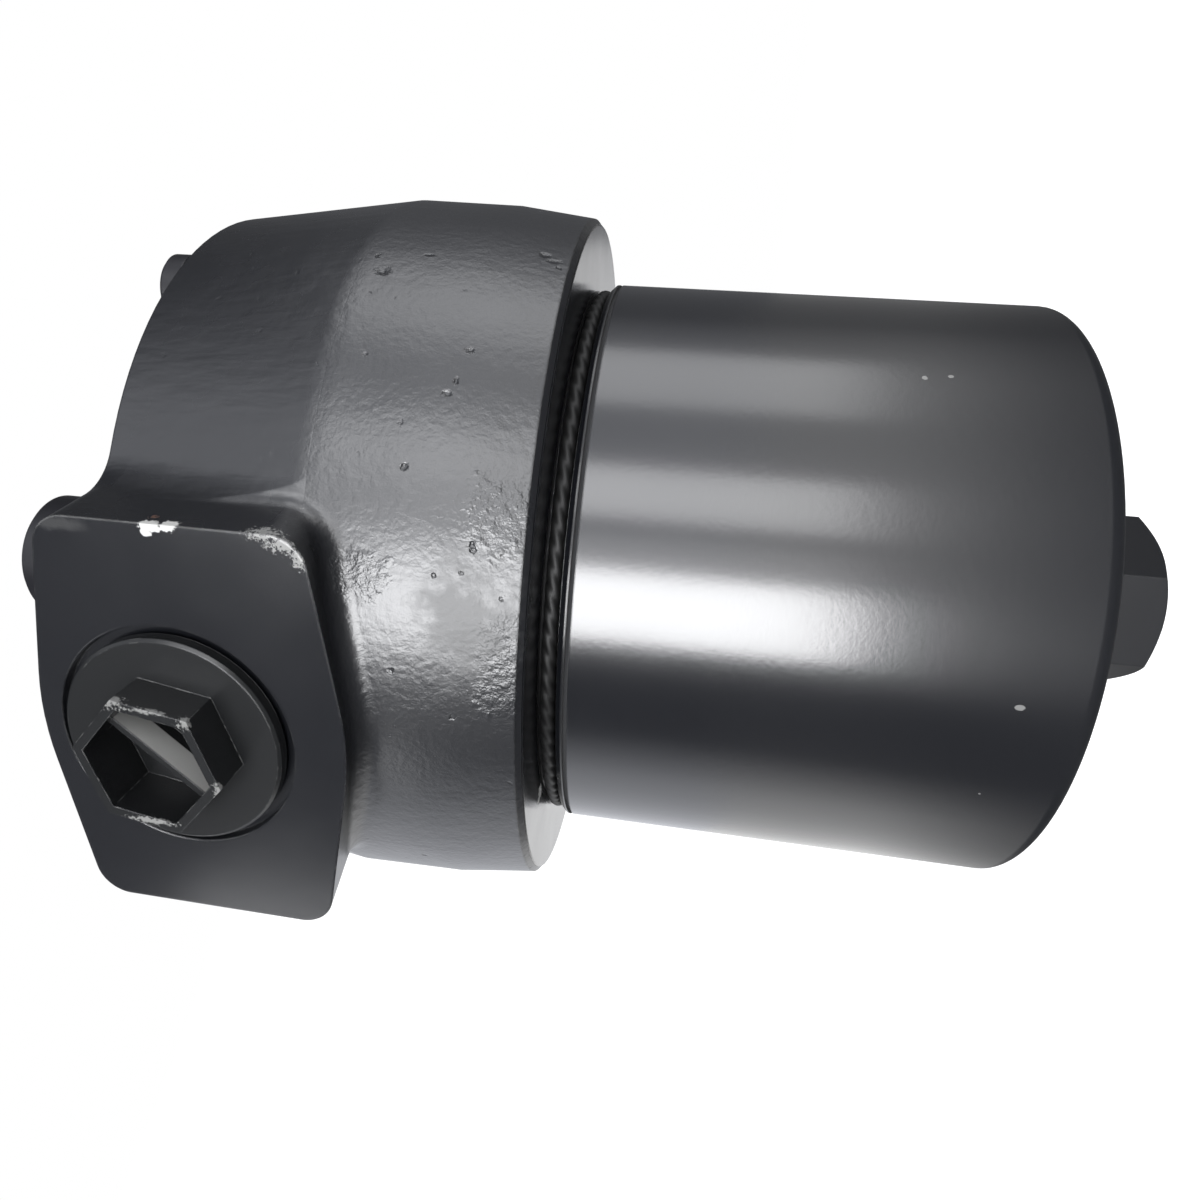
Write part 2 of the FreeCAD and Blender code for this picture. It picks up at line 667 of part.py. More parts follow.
# bowl: a turned cup with a sealed nose, a thread and a hexagon on its end
bowl = new_body("filter_bowl")
turned(
    bowl,
    "bowl_turned",
    [
        ("0", "floor_z - sump_deep"),
        ("sump_r", "floor_z - sump_deep"),
        ("sump_top_r", "floor_z"),
        ("bowl_bore_r - floor_bevel", "floor_z"),
        ("bowl_bore_r", "floor_z + floor_bevel"),
        ("bowl_bore_r", "shoulder_z + neck_start"),
        ("nose_bore", "shoulder_z + neck_stop"),
        ("nose_bore", "nose_top_z"),
        ("nose_r - nose_edge", "nose_top_z"),
        ("nose_r", "nose_top_z - nose_edge"),
        ("nose_r", "gland_z + gland_long"),
        ("gland_r", "gland_z + gland_long"),
        ("gland_r", "gland_z"),
        ("nose_r", "gland_z"),
        ("nose_r", "thread_top_z + thread_relief"),
        ("thread_r - thread_lead", "thread_top_z"),
        ("thread_r", "thread_top_z - thread_lead"),
        ("thread_r", "shoulder_z"),
        ("bowl_r - shoulder_chamfer", "shoulder_z"),
        ("bowl_r", "shoulder_z - shoulder_chamfer"),
        ("bowl_r", "shoulder_z - line_drop"),
        ("bowl_r - line_deep", "shoulder_z - line_drop"),
        ("bowl_r - line_deep", "shoulder_z - line_drop - line_width"),
        ("bowl_r", "shoulder_z - line_drop - line_width"),
        ("bowl_r", "rim_z"),
        ("hex_r + crown_flat", "crown_z"),
        ("0", "crown_z"),
    ],
)
rim = -size("head_height") - size("seat_gap") - size("bowl_length")
rounded(bowl, "end_rim", ring_at(size("bowl_r"), rim), "end_round")
spanner = new_sketch(bowl, "spanner_outline", "XY_Plane", "crown_z")
hexagon(spanner, "hex_r", "hex_turn")
padded(bowl, "spanner", spanner, "hex_height", reverse=True)
turned(
    bowl,
    "spanner_bevel",
    [
        ("hex_flats / 2 - hex_bevel", "hex_z"),
        ("hex_r + run_out", "hex_z + (hex_r + run_out - hex_flats / 2 + hex_bevel) * tan(30)"),
        ("hex_r + run_out", "hex_z - run_out"),
        ("hex_flats / 2 - hex_bevel", "hex_z - run_out"),
    ],
    cut=True,
)
drain_hole = new_sketch(bowl, "drain_outline", "XY_Plane", "hex_z")
add_circle(drain_hole, "0", "0", "drain_r + fit")
padded(bowl, "drain_bore", drain_hole, "floor_z - hex_z + run_out", reverse=True, cut=True)


def turned_node(label, points):
    body = new_body(label)
    turned(body, label + "_turned", points)
    return body


dust = ring("dust_seal_ring", "dust_r", "dust_wire", "face_z - seat_gap / 2")
dust.Label = "dust_seal_ring"
seal = ring(
    "bowl_o_ring",
    "oring_r",
    "oring_wire",
    "gland_z + 2 * ring_gap + backup_thick + oring_wire",
)
seal.Label = "bowl_o_ring"
backup = turned_node(
    "bowl_backup_ring",
    [
        ("gland_r + ring_gap", "gland_z + ring_gap"),
        ("nose_bore_r - backup_room", "gland_z + ring_gap"),
        ("nose_bore_r - backup_room", "gland_z + ring_gap + backup_thick"),
        ("gland_r + ring_gap", "gland_z + ring_gap + backup_thick"),
    ],
)


# plugs: a headed screw with a hexagon socket, its head standing along +Z or -Z
def socket_plug(label, head_r, head_high, shank_r, shank, key, key_deep, x, y, z, along):
    up = "+" if along == "Z" else "-"
    back = "-Z" if along == "Z" else "Z"
    head = rod(label + "_head", head_r, head_high + " - plug_bevel", x, y, z, along)
    bevelled = doc.addObject("Part::Cone", label + "_crown")
    bevelled.setExpression("Radius1", bind(head_r))
    bevelled.setExpression("Radius2", bind(head_r + " - plug_bevel"))
    bevelled.setExpression("Height", bind("plug_bevel"))
    place(bevelled, x, y, "%s %s (%s - plug_bevel)" % (z, up, head_high), along)
    stem = rod(label + "_stem", shank_r, shank, x, y, z, back)
    whole = join(label + "_whole", [head, bevelled, stem])
    top = "%s %s %s" % (z, up, head_high)
    hole = prism(label + "_socket", "%s / 2 / cos(30)" % key, key_deep, x, y, top, back)
    return cut(label, whole, hole)


def flat_ring(label, outer, inner, thick, x, y, z, along="Z"):
    whole = rod(label + "_disc", outer, thick, x, y, z, along)
    hole = rod(label + "_hole", inner, thick, x, y, z, along)
    return cut(label, whole, hole)


socket_plug("indicator_plug", "gauge_head_r", "gauge_head", "gauge_shank_r",
            "top_washer + top_shank - shank_room", "gauge_key", "gauge_key_deep",
            "gauge_x", "-gauge_y", "-gauge_seat + top_washer", "Z")
flat_ring("indicator_washer", "gauge_head_r - plug_bevel", "gauge_shank_r + ring_gap",
          "top_washer", "gauge_x", "-gauge_y", "-gauge_seat")
socket_plug("vent_plug", "vent_head_r", "vent_head", "vent_shank_r",
            "top_washer + top_shank - shank_room", "vent_key", "vent_key_deep",
            "vent_x", "-vent_y", "-shoulder_drop + top_washer", "Z")
flat_ring("vent_washer", "vent_head_r - plug_bevel", "vent_shank_r + ring_gap",
          "top_washer", "vent_x", "-vent_y", "-shoulder_drop")
socket_plug("drain_plug", "drain_head_r", "drain_head", "drain_r",
            "drain_washer + drain_shank", "drain_key", "drain_key_deep",
            "0", "0", "hex_z - drain_washer", "-Z")
flat_ring("drain_washer", "drain_washer_r", "drain_r + ring_gap",
          "drain_washer", "0", "0", "hex_z", "-Z")


BOSS_TURN = 20


# port plugs: a flanged plug with a hollow hexagon and one rib across it
def spin(obj, along, angle):
    turned_by = FreeCAD.Rotation(FreeCAD.Vector(0, 0, 1), angle)
    obj.Placement = FreeCAD.Placement(obj.Placement.Base, ALONG[along].multiply(turned_by))


def port_plug(label, sign):
    out, back = ("Y", "-Y") if sign > 0 else ("-Y", "Y")
    turn = "" if sign > 0 else "-"
    x = "-port_side"
    z = "port_z"
    flange = rod(label + "_flange", "flange_r", "flange_thick - flange_edge", x,
                 turn + "plug_y", z, out)
    edge = doc.addObject("Part::Cone", label + "_edge")
    edge.setExpression("Radius1", bind("flange_r"))
    edge.setExpression("Radius2", bind("flange_r - flange_edge"))
    edge.setExpression("Height", bind("flange_edge"))
    place(edge, x, turn + "(plug_y + flange_thick - flange_edge)", z, out)
    shank = rod(label + "_shank", "plug_shank_r", "plug_shank + plug_seal", x,
                turn + "plug_y", z, back)
    boss = prism(label + "_boss", "boss_flats / 2 / cos(30)", "boss_high", x,
                 turn + "(plug_y + flange_thick)", z, out)
    rim = turn + "(plug_y + flange_thick + boss_high)"
    hollow = prism(label + "_hollow", "(boss_flats / 2 - boss_wall) / cos(30)",
                   "boss_hollow", x, rim, z, back)
    spin(boss, out, BOSS_TURN)
    spin(hollow, back, -BOSS_TURN)
    rib = doc.addObject("Part::Box", label + "_rib")
    rib.setExpression("Length", bind("boss_flats - boss_wall"))
    rib.setExpression("Width", bind("rib_thick"))
    rib.setExpression("Height", bind("boss_hollow - rib_low"))
    half = "(boss_flats - boss_wall) / 2"
    up = "-" if sign < 0 else "+"
    place(
        rib,
        "-port_side - %s * cos(%d) + rib_thick / 2 * sin(%d)"
        % (half, BOSS_TURN + 30, BOSS_TURN + 30),
        turn + "(plug_y + flange_thick + boss_high - boss_hollow)",
        "port_z %s (%s * sin(%d) + rib_thick / 2 * cos(%d))"
        % (up, half, BOSS_TURN + 30, BOSS_TURN + 30),
        out,
    )
    spin(rib, out, BOSS_TURN + 30)
    whole = join(label + "_whole", [flange, edge, shank, boss])
    cored = cut(label + "_cored", whole, hollow)
    return join(label, [cored, rib])


port_plug("front_port_plug", -1)
port_plug("rear_port_plug", 1)
flat_ring("front_plug_seal", "plug_shank_r + seal_width", "plug_shank_r + ring_gap", "plug_seal",
          "-port_side", "-spot_y", "port_z", "-Y")
flat_ring("rear_plug_seal", "plug_shank_r + seal_width", "plug_shank_r + ring_gap", "plug_seal",
          "-port_side", "spot_y", "port_z", "Y")


# filter element: two caps, a perforated core and a folded sheet between them
CORE_ROW_COUNT = 7
CORE_COLUMN_COUNT = 5
PLEAT_COUNT = 44
turned_node(
    "element_top_cap",
    [
        ("hub_bore", "element_z - cap_thick"),
        ("cap_r", "element_z - cap_thick"),
        ("cap_r", "element_z"),
        ("hub_r", "element_z"),
        ("hub_r", "element_z + hub_high"),
        ("hub_bore + hub_lead", "element_z + hub_high"),
        ("hub_bore", "element_z + hub_high - hub_lead"),
        ("hub_bore", "spigot_ring_z + spigot_wire + hub_gland_room"),
        ("hub_gland_r", "spigot_ring_z + spigot_wire + hub_gland_room"),
        ("hub_gland_r", "spigot_ring_z - spigot_wire - hub_gland_room"),
        ("hub_bore", "spigot_ring_z - spigot_wire - hub_gland_room"),
    ],
)
spigot_ring = ring("element_o_ring", "spigot_ring_r", "spigot_wire", "spigot_ring_z")
spigot_ring.Label = "element_o_ring"
turned_node(
    "element_bottom_cap",
    [
        ("seat_r", "element_end_z"),
        ("lip_r - lip_wall", "element_end_z"),
        ("lip_r - lip_wall", "element_end_z - lip_high"),
        ("lip_r", "element_end_z - lip_high"),
        ("lip_r", "element_end_z"),
        ("cap_r", "element_end_z"),
        ("cap_r", "seat_z"),
        ("seat_r", "seat_z"),
    ],
)
core = new_body("element_core_tube")
turned(
    core,
    "core_turned",
    [
        ("core_r - core_wall", "seat_z"),
        ("core_r", "seat_z"),
        ("core_r", "element_z - cap_thick"),
        ("core_r - core_wall", "element_z - cap_thick"),
    ],
)
holes = new_sketch(core, "core_holes_outline", "XZ_Plane")
for i in range(CORE_ROW_COUNT):
    add_circle(holes, "0", "seat_z + (element_long - 2 * cap_thick) * %d / %d"
               % (i + 1, CORE_ROW_COUNT + 1), "core_hole")
pierced = padded(core, "core_holes", holes, "4 * core_r", cut=True)
pierced.Midplane = True
around = core.newObject("PartDesign::PolarPattern", "core_holes_around")
around.Originals = [pierced]
around.Axis = (plane(core, "Z_Axis"), [""])
around.Angle = 360
around.Occurrences = CORE_COLUMN_COUNT
core.Tip = around
media = new_body("element_media")
turned(
    media,
    "media_root",
    [
        ("media_in", "seat_z"),
        ("media_in + media_wall", "seat_z"),
        ("media_in + media_wall", "element_z - cap_thick"),
        ("media_in", "element_z - cap_thick"),
    ],
)
pleat = new_sketch(media, "pleat_outline", "XY_Plane", "seat_z")
add_polygon(
    pleat,
    [
        ("media_in + media_wall / 2", "media_thick / 2"),
        ("media_in + media_wall / 2", "-media_thick / 2"),
        ("media_out - pleat_tip", "-media_thick / 2"),
        ("media_out", "0"),
        ("media_out - pleat_tip", "media_thick / 2"),
    ],
)
fold = padded(media, "pleat", pleat, "element_long - 2 * cap_thick")
pleats = media.newObject("PartDesign::PolarPattern", "pleats")
pleats.Originals = [fold]
pleats.Axis = (plane(media, "Z_Axis"), [""])
pleats.Angle = 360
pleats.Occurrences = PLEAT_COUNT
media.Tip = pleats


# bypass: a poppet on the lower cap's seat, its spring and the cage that holds both
CAGE_WINDOW_COUNT = 3
BYPASS_TURN_COUNT = 5
ELEMENT_TURN_COUNT = 3
turned_node(
    "bypass_poppet",
    [
        ("0", "seat_z"),
        ("poppet_r", "seat_z"),
        ("poppet_r", "seat_z + poppet_thick - poppet_edge"),
        ("poppet_r - poppet_edge", "seat_z + poppet_thick"),
        ("stem_r", "seat_z + poppet_thick"),
        ("stem_r", "cage_top_z + stem_out"),
        ("0", "cage_top_z + stem_out"),
    ],
)
cage = new_body("bypass_cage")
turned(
    cage,
    "cage_turned",
    [
        ("poppet_r + poppet_room", "seat_z"),
        ("cage_r", "seat_z"),
        ("cage_r", "cage_top_z"),
        ("stem_r + fit", "cage_top_z"),
        ("stem_r + fit", "cage_top_z - cage_wall"),
        ("cage_r - cage_wall", "cage_top_z - cage_wall"),
        ("cage_r - cage_wall", "seat_z + cage_wall"),
        ("poppet_r + poppet_room", "seat_z + cage_wall"),
    ],
)
window = new_sketch(cage, "cage_window_outline", "XZ_Plane")
add_polygon(
    window,
    [
        ("-cage_r / 4", "seat_z + window_low"),
        ("cage_r / 4", "seat_z + window_low"),
        ("cage_r / 4", "cage_top_z - cage_wall - window_top"),
        ("-cage_r / 4", "cage_top_z - cage_wall - window_top"),
    ],
)
opened = padded(cage, "cage_window", window, "4 * cage_r", cut=True)
opened.Midplane = True
windows = cage.newObject("PartDesign::PolarPattern", "cage_windows")
windows.Originals = [opened]
windows.Axis = (plane(cage, "Z_Axis"), [""])
windows.Angle = 360
windows.Occurrences = CAGE_WINDOW_COUNT
cage.Tip = windows


def coil(label, radius, wire, low, high, turns):
    # a round wire wound up Z from low to high, both given as wire centre heights
    line = doc.addObject("Part::Helix", label + "_line")
    line.setExpression("Radius", bind(radius))
    line.setExpression("Pitch", bind("(%s - (%s)) / %g" % (high, low, turns)))
    line.setExpression("Height", bind("%s - (%s)" % (high, low)))
    line.SegmentLength = 0.5
    place(line, "0", "0", low)
    section = doc.addObject("Part::Circle", label + "_section")
    section.setExpression("Radius", bind(wire))
    place(section, radius, "0", low, "-Y")
    sweep = doc.addObject("Part::Sweep", label)
    sweep.Sections = [section]
    sweep.Spine = (line, [])
    sweep.Solid = True
    sweep.Frenet = True
    sweep.Label = label
    return sweep


coil("bypass_spring", "bypass_coil_r", "bypass_wire",
     "seat_z + poppet_thick + bypass_wire + ring_gap",
     "cage_top_z - cage_wall - bypass_wire - ring_gap", BYPASS_TURN_COUNT)
coil("element_spring", "coil_r", "coil_wire", "floor_z + coil_wire + ring_gap",
     "element_end_z - coil_wire - ring_gap", ELEMENT_TURN_COUNT)

NODES = [
    "filter_head",
    "filter_bowl",
    "dust_seal_ring",
    "bowl_o_ring",
    "bowl_backup_ring",
    "drain_plug",
    "drain_washer",
    "front_port_plug",
    "front_plug_seal",
    "rear_port_plug",
    "rear_plug_seal",
    "indicator_plug",
    "indicator_washer",
    "vent_plug",
    "vent_washer",
    "element_top_cap",
    "element_bottom_cap",
    "element_core_tube",
    "element_media",
    "element_o_ring",
    "bypass_poppet",
    "bypass_cage",
    "bypass_spring",
    "element_spring",
]

doc.recompute()
for obj in doc.Objects:
    if "Invalid" in obj.State or "Error" in obj.State:
        raise RuntimeError(obj.Name + " did not build: " + str(obj.State))
for half in (front_barrel, rear_barrel):
    if not half.Shape.isValid():
        raise RuntimeError(half.Name + " is not sound")
os.makedirs("parts", exist_ok=True)
for name in NODES:
    shape = doc.getObject(name).Shape
    if shape.isNull() or not shape.isValid() or len(shape.Solids) != 1:
        raise RuntimeError(name + " is not one sound solid")
    shape.exportStep("parts/" + name + ".step")
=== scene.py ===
import json
import math

import bpy
import numpy as np
from mathutils import Euler, Matrix, Vector


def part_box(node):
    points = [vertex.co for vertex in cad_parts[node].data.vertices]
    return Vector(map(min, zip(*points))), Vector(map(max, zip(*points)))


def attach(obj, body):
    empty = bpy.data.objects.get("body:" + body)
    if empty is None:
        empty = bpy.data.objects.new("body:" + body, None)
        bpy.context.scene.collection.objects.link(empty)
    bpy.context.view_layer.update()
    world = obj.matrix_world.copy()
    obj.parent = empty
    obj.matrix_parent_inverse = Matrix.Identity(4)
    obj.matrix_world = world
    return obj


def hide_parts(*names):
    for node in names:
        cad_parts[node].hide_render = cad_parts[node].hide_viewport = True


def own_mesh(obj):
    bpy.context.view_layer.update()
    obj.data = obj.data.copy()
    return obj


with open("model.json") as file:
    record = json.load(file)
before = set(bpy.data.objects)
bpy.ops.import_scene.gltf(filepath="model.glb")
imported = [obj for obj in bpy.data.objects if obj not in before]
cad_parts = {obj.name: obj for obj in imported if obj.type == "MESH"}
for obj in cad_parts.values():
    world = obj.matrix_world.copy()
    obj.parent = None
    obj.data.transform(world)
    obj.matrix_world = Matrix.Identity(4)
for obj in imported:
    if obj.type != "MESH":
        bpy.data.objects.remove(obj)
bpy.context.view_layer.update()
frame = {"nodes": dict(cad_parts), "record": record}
MM = 0.001

# Levels read from the frame
FACE_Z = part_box("filter_head")[0].z
BOWL_END_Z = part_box("filter_bowl")[0].z

# Levels of the head and the bowl that their finishes follow
RIDGE_Z = -42 * MM
BAND_Z = -59 * MM
CHAMBER_TOP_Z = -16.4 * MM
SHOULDER_Z = -75.4 * MM
LINE_HIGH = SHOULDER_Z - 1.1 * MM
LINE_LOW = LINE_HIGH - 0.6 * MM
BOWL_FLOOR_Z = -140.4 * MM
CROWN_Z = -153.9 * MM

# Distances from the upright axis
CHAMBER_RADIUS = 48.8 * MM
COLLAR_FACE_RADIUS = 47 * MM
BOSS_RADIUS = 63 * MM
BOWL_RIM_RADIUS = 49.1 * MM
BOWL_BORE_RADIUS = 41.2 * MM
DRAIN_RADIUS = 5.0 * MM

# The ports: their axis, the places of their faces and edges, and radii about their axis
PORT_X = -7.5 * MM
PORT_Z = -25.7 * MM
PORT_FACE_Y = 67.44 * MM
PAD_EDGE_Y = 66.9 * MM
PAD_EDGE_X = 22.3 * MM
SPOT_FACE_Y = 65.7 * MM
SPOT_FACE_RADIUS = 17.2 * MM
PORT_BORE_Y = 65.8 * MM
PORT_BORE_END_Y = 41 * MM
PORT_BORE_RADIUS = 10.6 * MM

# The port plug's flange, and its rib as turned about the port's axis
FLANGE_Y = 66.9 * MM
RIB_TURN = math.radians(50)
# Offsets across the rib of its lit side, which is painted pale as a highlight
RIB_LIT_SIDE = (0.42 * MM, 0.7 * MM)
RIB_HEIGHT = (1.7 * MM, 5.2 * MM)
RIB_REACH = 7.6 * MM

# The threads' pitches, and the radii and levels between which they are cut
BOWL_PITCH = 3 * MM
PORT_PITCH = 1.814 * MM
THREAD_DEPTH = 0.6
HEAD_THREAD_RADIUS = (46.2 * MM, 46.6 * MM)
HEAD_THREAD_Z = (-71.3 * MM, -52.8 * MM)
BOWL_THREAD_RADIUS = (46.2 * MM, 46.5 * MM)
BOWL_THREAD_Z = (-74.8 * MM, -54.9 * MM)

# Width over which one finish passes into the next
SEAM = 0.1 * MM


# Values and masks from shader nodes


def add(tree, kind, links=(), **values):
    """A node of that kind with its settings, and links given as (input, value or socket)."""
    node = tree.nodes.new(kind)
    for key, value in values.items():
        setattr(node, key, value)
    for key, value in links:
        if isinstance(value, bpy.types.NodeSocket):
            tree.links.new(value, node.inputs[key])
        else:
            node.inputs[key].default_value = value
    return node


def calc(tree, operation, *terms):
    """The output of a Math node over one to three values or sockets."""
    return add(tree, "ShaderNodeMath", enumerate(terms), operation=operation).outputs[0]


def vector_calc(tree, operation, *terms):
    """The Vector Math node over one or two vectors or sockets."""
    return add(tree, "ShaderNodeVectorMath", enumerate(terms), operation=operation)


def chain(tree, operation, terms):
    """Several values or sockets joined one after the other by the same operation."""
    whole = terms[0]
    for term in terms[1:]:
        whole = calc(tree, operation, whole, term)
    return whole


def product(tree, *terms):
    return chain(tree, "MULTIPLY", terms)


def total(tree, *terms):
    return chain(tree, "ADD", terms)


def among(tree, *masks):
    """The largest of several masks."""
    return chain(tree, "MAXIMUM", masks)


def except_for(tree, mask):
    return calc(tree, "SUBTRACT", 1.0, mask)


def step(tree, value, low, high):
    """0 at low and 1 at high, smooth between, whichever of the two is the larger."""
    links = [("Value", value), ("From Min", low), ("From Max", high)]
    node = add(tree, "ShaderNodeMapRange", links, interpolation_type="SMOOTHSTEP")
    return node.outputs["Result"]


def above(tree, value, limit, soft=SEAM):
    """1 above a limit, falling to 0 over soft below it."""
    return step(tree, value, limit - soft, limit)


def below(tree, value, limit, soft=SEAM):
    """1 below a limit, falling to 0 over soft above it."""
    return step(tree, value, limit + soft, limit)


def band(tree, value, limits, soft=SEAM):
    """1 between two limits, falling to 0 over soft outside."""
    low, high = limits
    rise = step(tree, value, low - soft, low)
    fall = step(tree, value, high, high + soft)
    return calc(tree, "SUBTRACT", rise, fall)


def between(tree, factor, low, high):
    """low where factor is 0, high where it is 1."""
    rise = calc(tree, "SUBTRACT", high, low)
    return calc(tree, "MULTIPLY_ADD", factor, rise, low)


def tint(tree, factor, under, over):
    """A colour: under where factor is 0, over where it is 1."""
    colours = [c if isinstance(c, bpy.types.NodeSocket) else (*c, 1) for c in (under, over)]
    links = [("Factor", factor), (6, colours[0]), (7, colours[1])]
    return add(tree, "ShaderNodeMix", links, data_type="RGBA").outputs[2]


def noise(tree, place, scale, detail=2.0, rough=0.5):
    """A noise value from 0 to 1 at that many bumps a metre."""
    links = [("Vector", place), ("Scale", scale), ("Detail", detail), ("Roughness", rough)]
    return add(tree, "ShaderNodeTexNoise", links).outputs["Fac"]


def uneven(tree, value, place, scale, swing):
    """A value that wanders by half of swing to each side."""
    low = calc(tree, "SUBTRACT", value, swing / 2)
    return calc(tree, "MULTIPLY_ADD", noise(tree, place, scale), swing, low)


def object_place(tree):
    return add(tree, "ShaderNodeTexCoord").outputs["Object"]


def split(tree, place):
    node = add(tree, "ShaderNodeSeparateXYZ", [(0, place)])
    return node.outputs["X"], node.outputs["Y"], node.outputs["Z"]


def distance(tree, first, second):
    """The root of the sum of two squares."""
    both = add(tree, "ShaderNodeCombineXYZ", [("X", first), ("Y", second)]).outputs[0]
    return vector_calc(tree, "LENGTH", both).outputs["Value"]


# Node groups


def new_group(name, inputs, output):
    """An empty shader group with its sockets, and its input and output nodes.

    The inputs are given as their labels and kinds. The one output is a number.
    """
    group = bpy.data.node_groups.new(name, "ShaderNodeTree")
    for label, kind in inputs.items():
        group.interface.new_socket(label, in_out="INPUT", socket_type="NodeSocket" + kind)
    group.interface.new_socket(output, in_out="OUTPUT", socket_type="NodeSocketFloat")
    start = group.nodes.new("NodeGroupInput")
    end = group.nodes.new("NodeGroupOutput")
    return group, start, end


def small_pits(tree, place):
    """Mask of small pits in patches: cells about points, their outlines bent by noise."""
    bend = add(tree, "ShaderNodeTexNoise", [("Vector", place), ("Scale", 1400)]).outputs["Color"]
    reach = 1.1 * MM
    bend = add(tree, "ShaderNodeVectorMath", [(0, bend), ("Scale", reach)], operation="SCALE")
    moved = vector_calc(tree, "ADD", place, bend.outputs[0]).outputs[0]
    cells = add(tree, "ShaderNodeTexVoronoi", [("Vector", moved), ("Scale", 330)])
    hole = except_for(tree, step(tree, cells.outputs["Distance"], 0.03, 0.2))
    patch = step(tree, noise(tree, place, scale=130, detail=1), 0.56, 0.64)
    return product(tree, hole, patch)


def cast_relief_group():
    """Height in metres of a painted casting: sand grain, low lumps, pits and faint drag lines."""
    inputs = {"Grain": "Float", "Lumps": "Float", "Pits": "Float", "Drag": "Float"}
    group, start, end = new_group("cast_relief", inputs, "Height")
    place = object_place(group)
    drawn = vector_calc(group, "MULTIPLY", place, (1.0, 1.0, 0.2)).outputs[0]
    grain = noise(group, place, scale=900, detail=3, rough=0.6)
    lumps = noise(group, place, scale=150)
    drag = noise(group, drawn, scale=520)
    rise = total(
        group,
        product(group, grain, start.outputs["Grain"]),
        product(group, lumps, start.outputs["Lumps"]),
        product(group, drag, start.outputs["Drag"]),
    )
    pits = product(group, small_pits(group, place), start.outputs["Pits"])
    group.links.new(calc(group, "SUBTRACT", rise, pits), end.inputs["Height"])
    return group


def spot_group():
    """Mask of one ragged spot: 1 within its radii about a centre, its edge broken by noise."""
    inputs = {
        "Centre": "Vector", "Radii": "Vector", "Ragged": "Float", "Soft": "Float", "Fine": "Float",
    }
    group, start, end = new_group("spot", inputs, "Mask")
    place = object_place(group)
    offset = vector_calc(group, "SUBTRACT", place, start.outputs["Centre"]).outputs[0]
    scaled = vector_calc(group, "DIVIDE", offset, start.outputs["Radii"]).outputs[0]
    far = vector_calc(group, "LENGTH", scaled).outputs["Value"]
    broken = noise(group, place, scale=start.outputs["Fine"], detail=3, rough=0.7)
    broken = calc(group, "SUBTRACT", broken, 0.5)
    level = calc(group, "MULTIPLY_ADD", broken, start.outputs["Ragged"], far)
    inner = calc(group, "SUBTRACT", 1.0, start.outputs["Soft"])
    outer = calc(group, "ADD", 1.0, start.outputs["Soft"])
    mask = except_for(group, step(group, level, inner, outer))
    group.links.new(mask, end.inputs["Mask"])
    return group


def specks_group():
    """Mask of rare pale dust specks, each about a third of a millimetre across."""
    group, start, end = new_group("specks", {"Share": "Float"}, "Mask")
    cells = add(group, "ShaderNodeTexVoronoi", [("Vector", object_place(group)), ("Scale", 230)])
    dot = except_for(group, step(group, cells.outputs["Distance"], 0.02, 0.05))
    picked = split(group, cells.outputs["Color"])[0]
    few = calc(group, "LESS_THAN", picked, start.outputs["Share"])
    group.links.new(product(group, dot, few), end.inputs["Mask"])
    return group


def thread_group():
    """Height in metres of a V thread, from 0 to half its pitch.

    Up runs along the thread's axis, Across and Along run square to it. A crest climbs by one
    pitch while it turns once from Across towards Along.
    """
    inputs = {"Across": "Float", "Along": "Float", "Up": "Float", "Pitch": "Float"}
    group, start, end = new_group("thread", inputs, "Height")
    turn = calc(group, "ARCTAN2", start.outputs["Along"], start.outputs["Across"])
    turns = calc(group, "DIVIDE", turn, 2 * math.pi)
    steps = calc(group, "DIVIDE", start.outputs["Up"], start.outputs["Pitch"])
    wave = calc(group, "PINGPONG", calc(group, "SUBTRACT", steps, turns), 0.5)
    group.links.new(product(group, wave, start.outputs["Pitch"]), end.inputs["Height"])
    return group


GROUPS = {
    "cast_relief": cast_relief_group(),
    "spot": spot_group(),
    "specks": specks_group(),
    "thread": thread_group(),
}


def place_group(tree, name, **values):
    """A group node with its inputs set or linked; its only output."""
    return add(tree, "ShaderNodeGroup", values.items(), node_tree=GROUPS[name]).outputs[0]


def spots(tree, rows, ragged=1.6, soft=0.15, fine=900.0):
    """The mask of several spots, given in millimetres as (centre, radii)."""
    masks = []
    for centre, radii in rows:
        ball = {"Centre": [v * MM for v in centre], "Radii": [v * MM for v in radii]}
        masks.append(place_group(tree, "spot", **ball, Ragged=ragged, Soft=soft, Fine=fine))
    return among(tree, *masks)


def cut_thread(tree, across, along, up, pitch, mask):
    """Height of a thread where the mask is 1."""
    wave = place_group(tree, "thread", Across=across, Along=along, Up=up, Pitch=pitch)
    return product(tree, wave, mask, THREAD_DEPTH)


# Finishes

PAINT_BLACK = (0.006, 0.0065, 0.0082)
PAINT_SHINE = 0.95
PLASTIC_BLACK = (0.008, 0.0085, 0.009)
# Pale of paint chips, also used for painted highlights along edges and on the plug rib's lit side
PALE_CHIP_AND_HIGHLIGHT = (0.4, 0.4, 0.385)
RUST = (0.075, 0.03, 0.016)
BARE_DARK = (0.2, 0.2, 0.205)

# Roughness of the paint on the collar, the neck and the machined faces, and of what is worn
COLLAR_ROUGH = 0.33
NECK_ROUGH = 0.27
MACHINED_ROUGH = 0.2
CHAMBER_ROUGH = 0.36
WORN_ROUGH = 0.5

# Roughness of the bowl's paint, of its hexagon, of the dull line round it and of bare steel
BOWL_ROUGH = 0.2
HEXAGON_ROUGH = 0.26
LINE_ROUGH = 1.0
NOSE_ROUGH = 0.38

# Heights in metres of the casting's relief, some as (on the collar, on the neck)
CAST_GRAIN = (0.000085, 0.000022)
CAST_PITS = (0.00018, 0.00003)
CAST_DRAG = (0.00003, 0.00011)
CAST_LUMPS = 0.00009
COARSE_GRAIN = 0.00024
DENT_DEPTH = -0.00022
CHIP_DEPTH = -0.00008

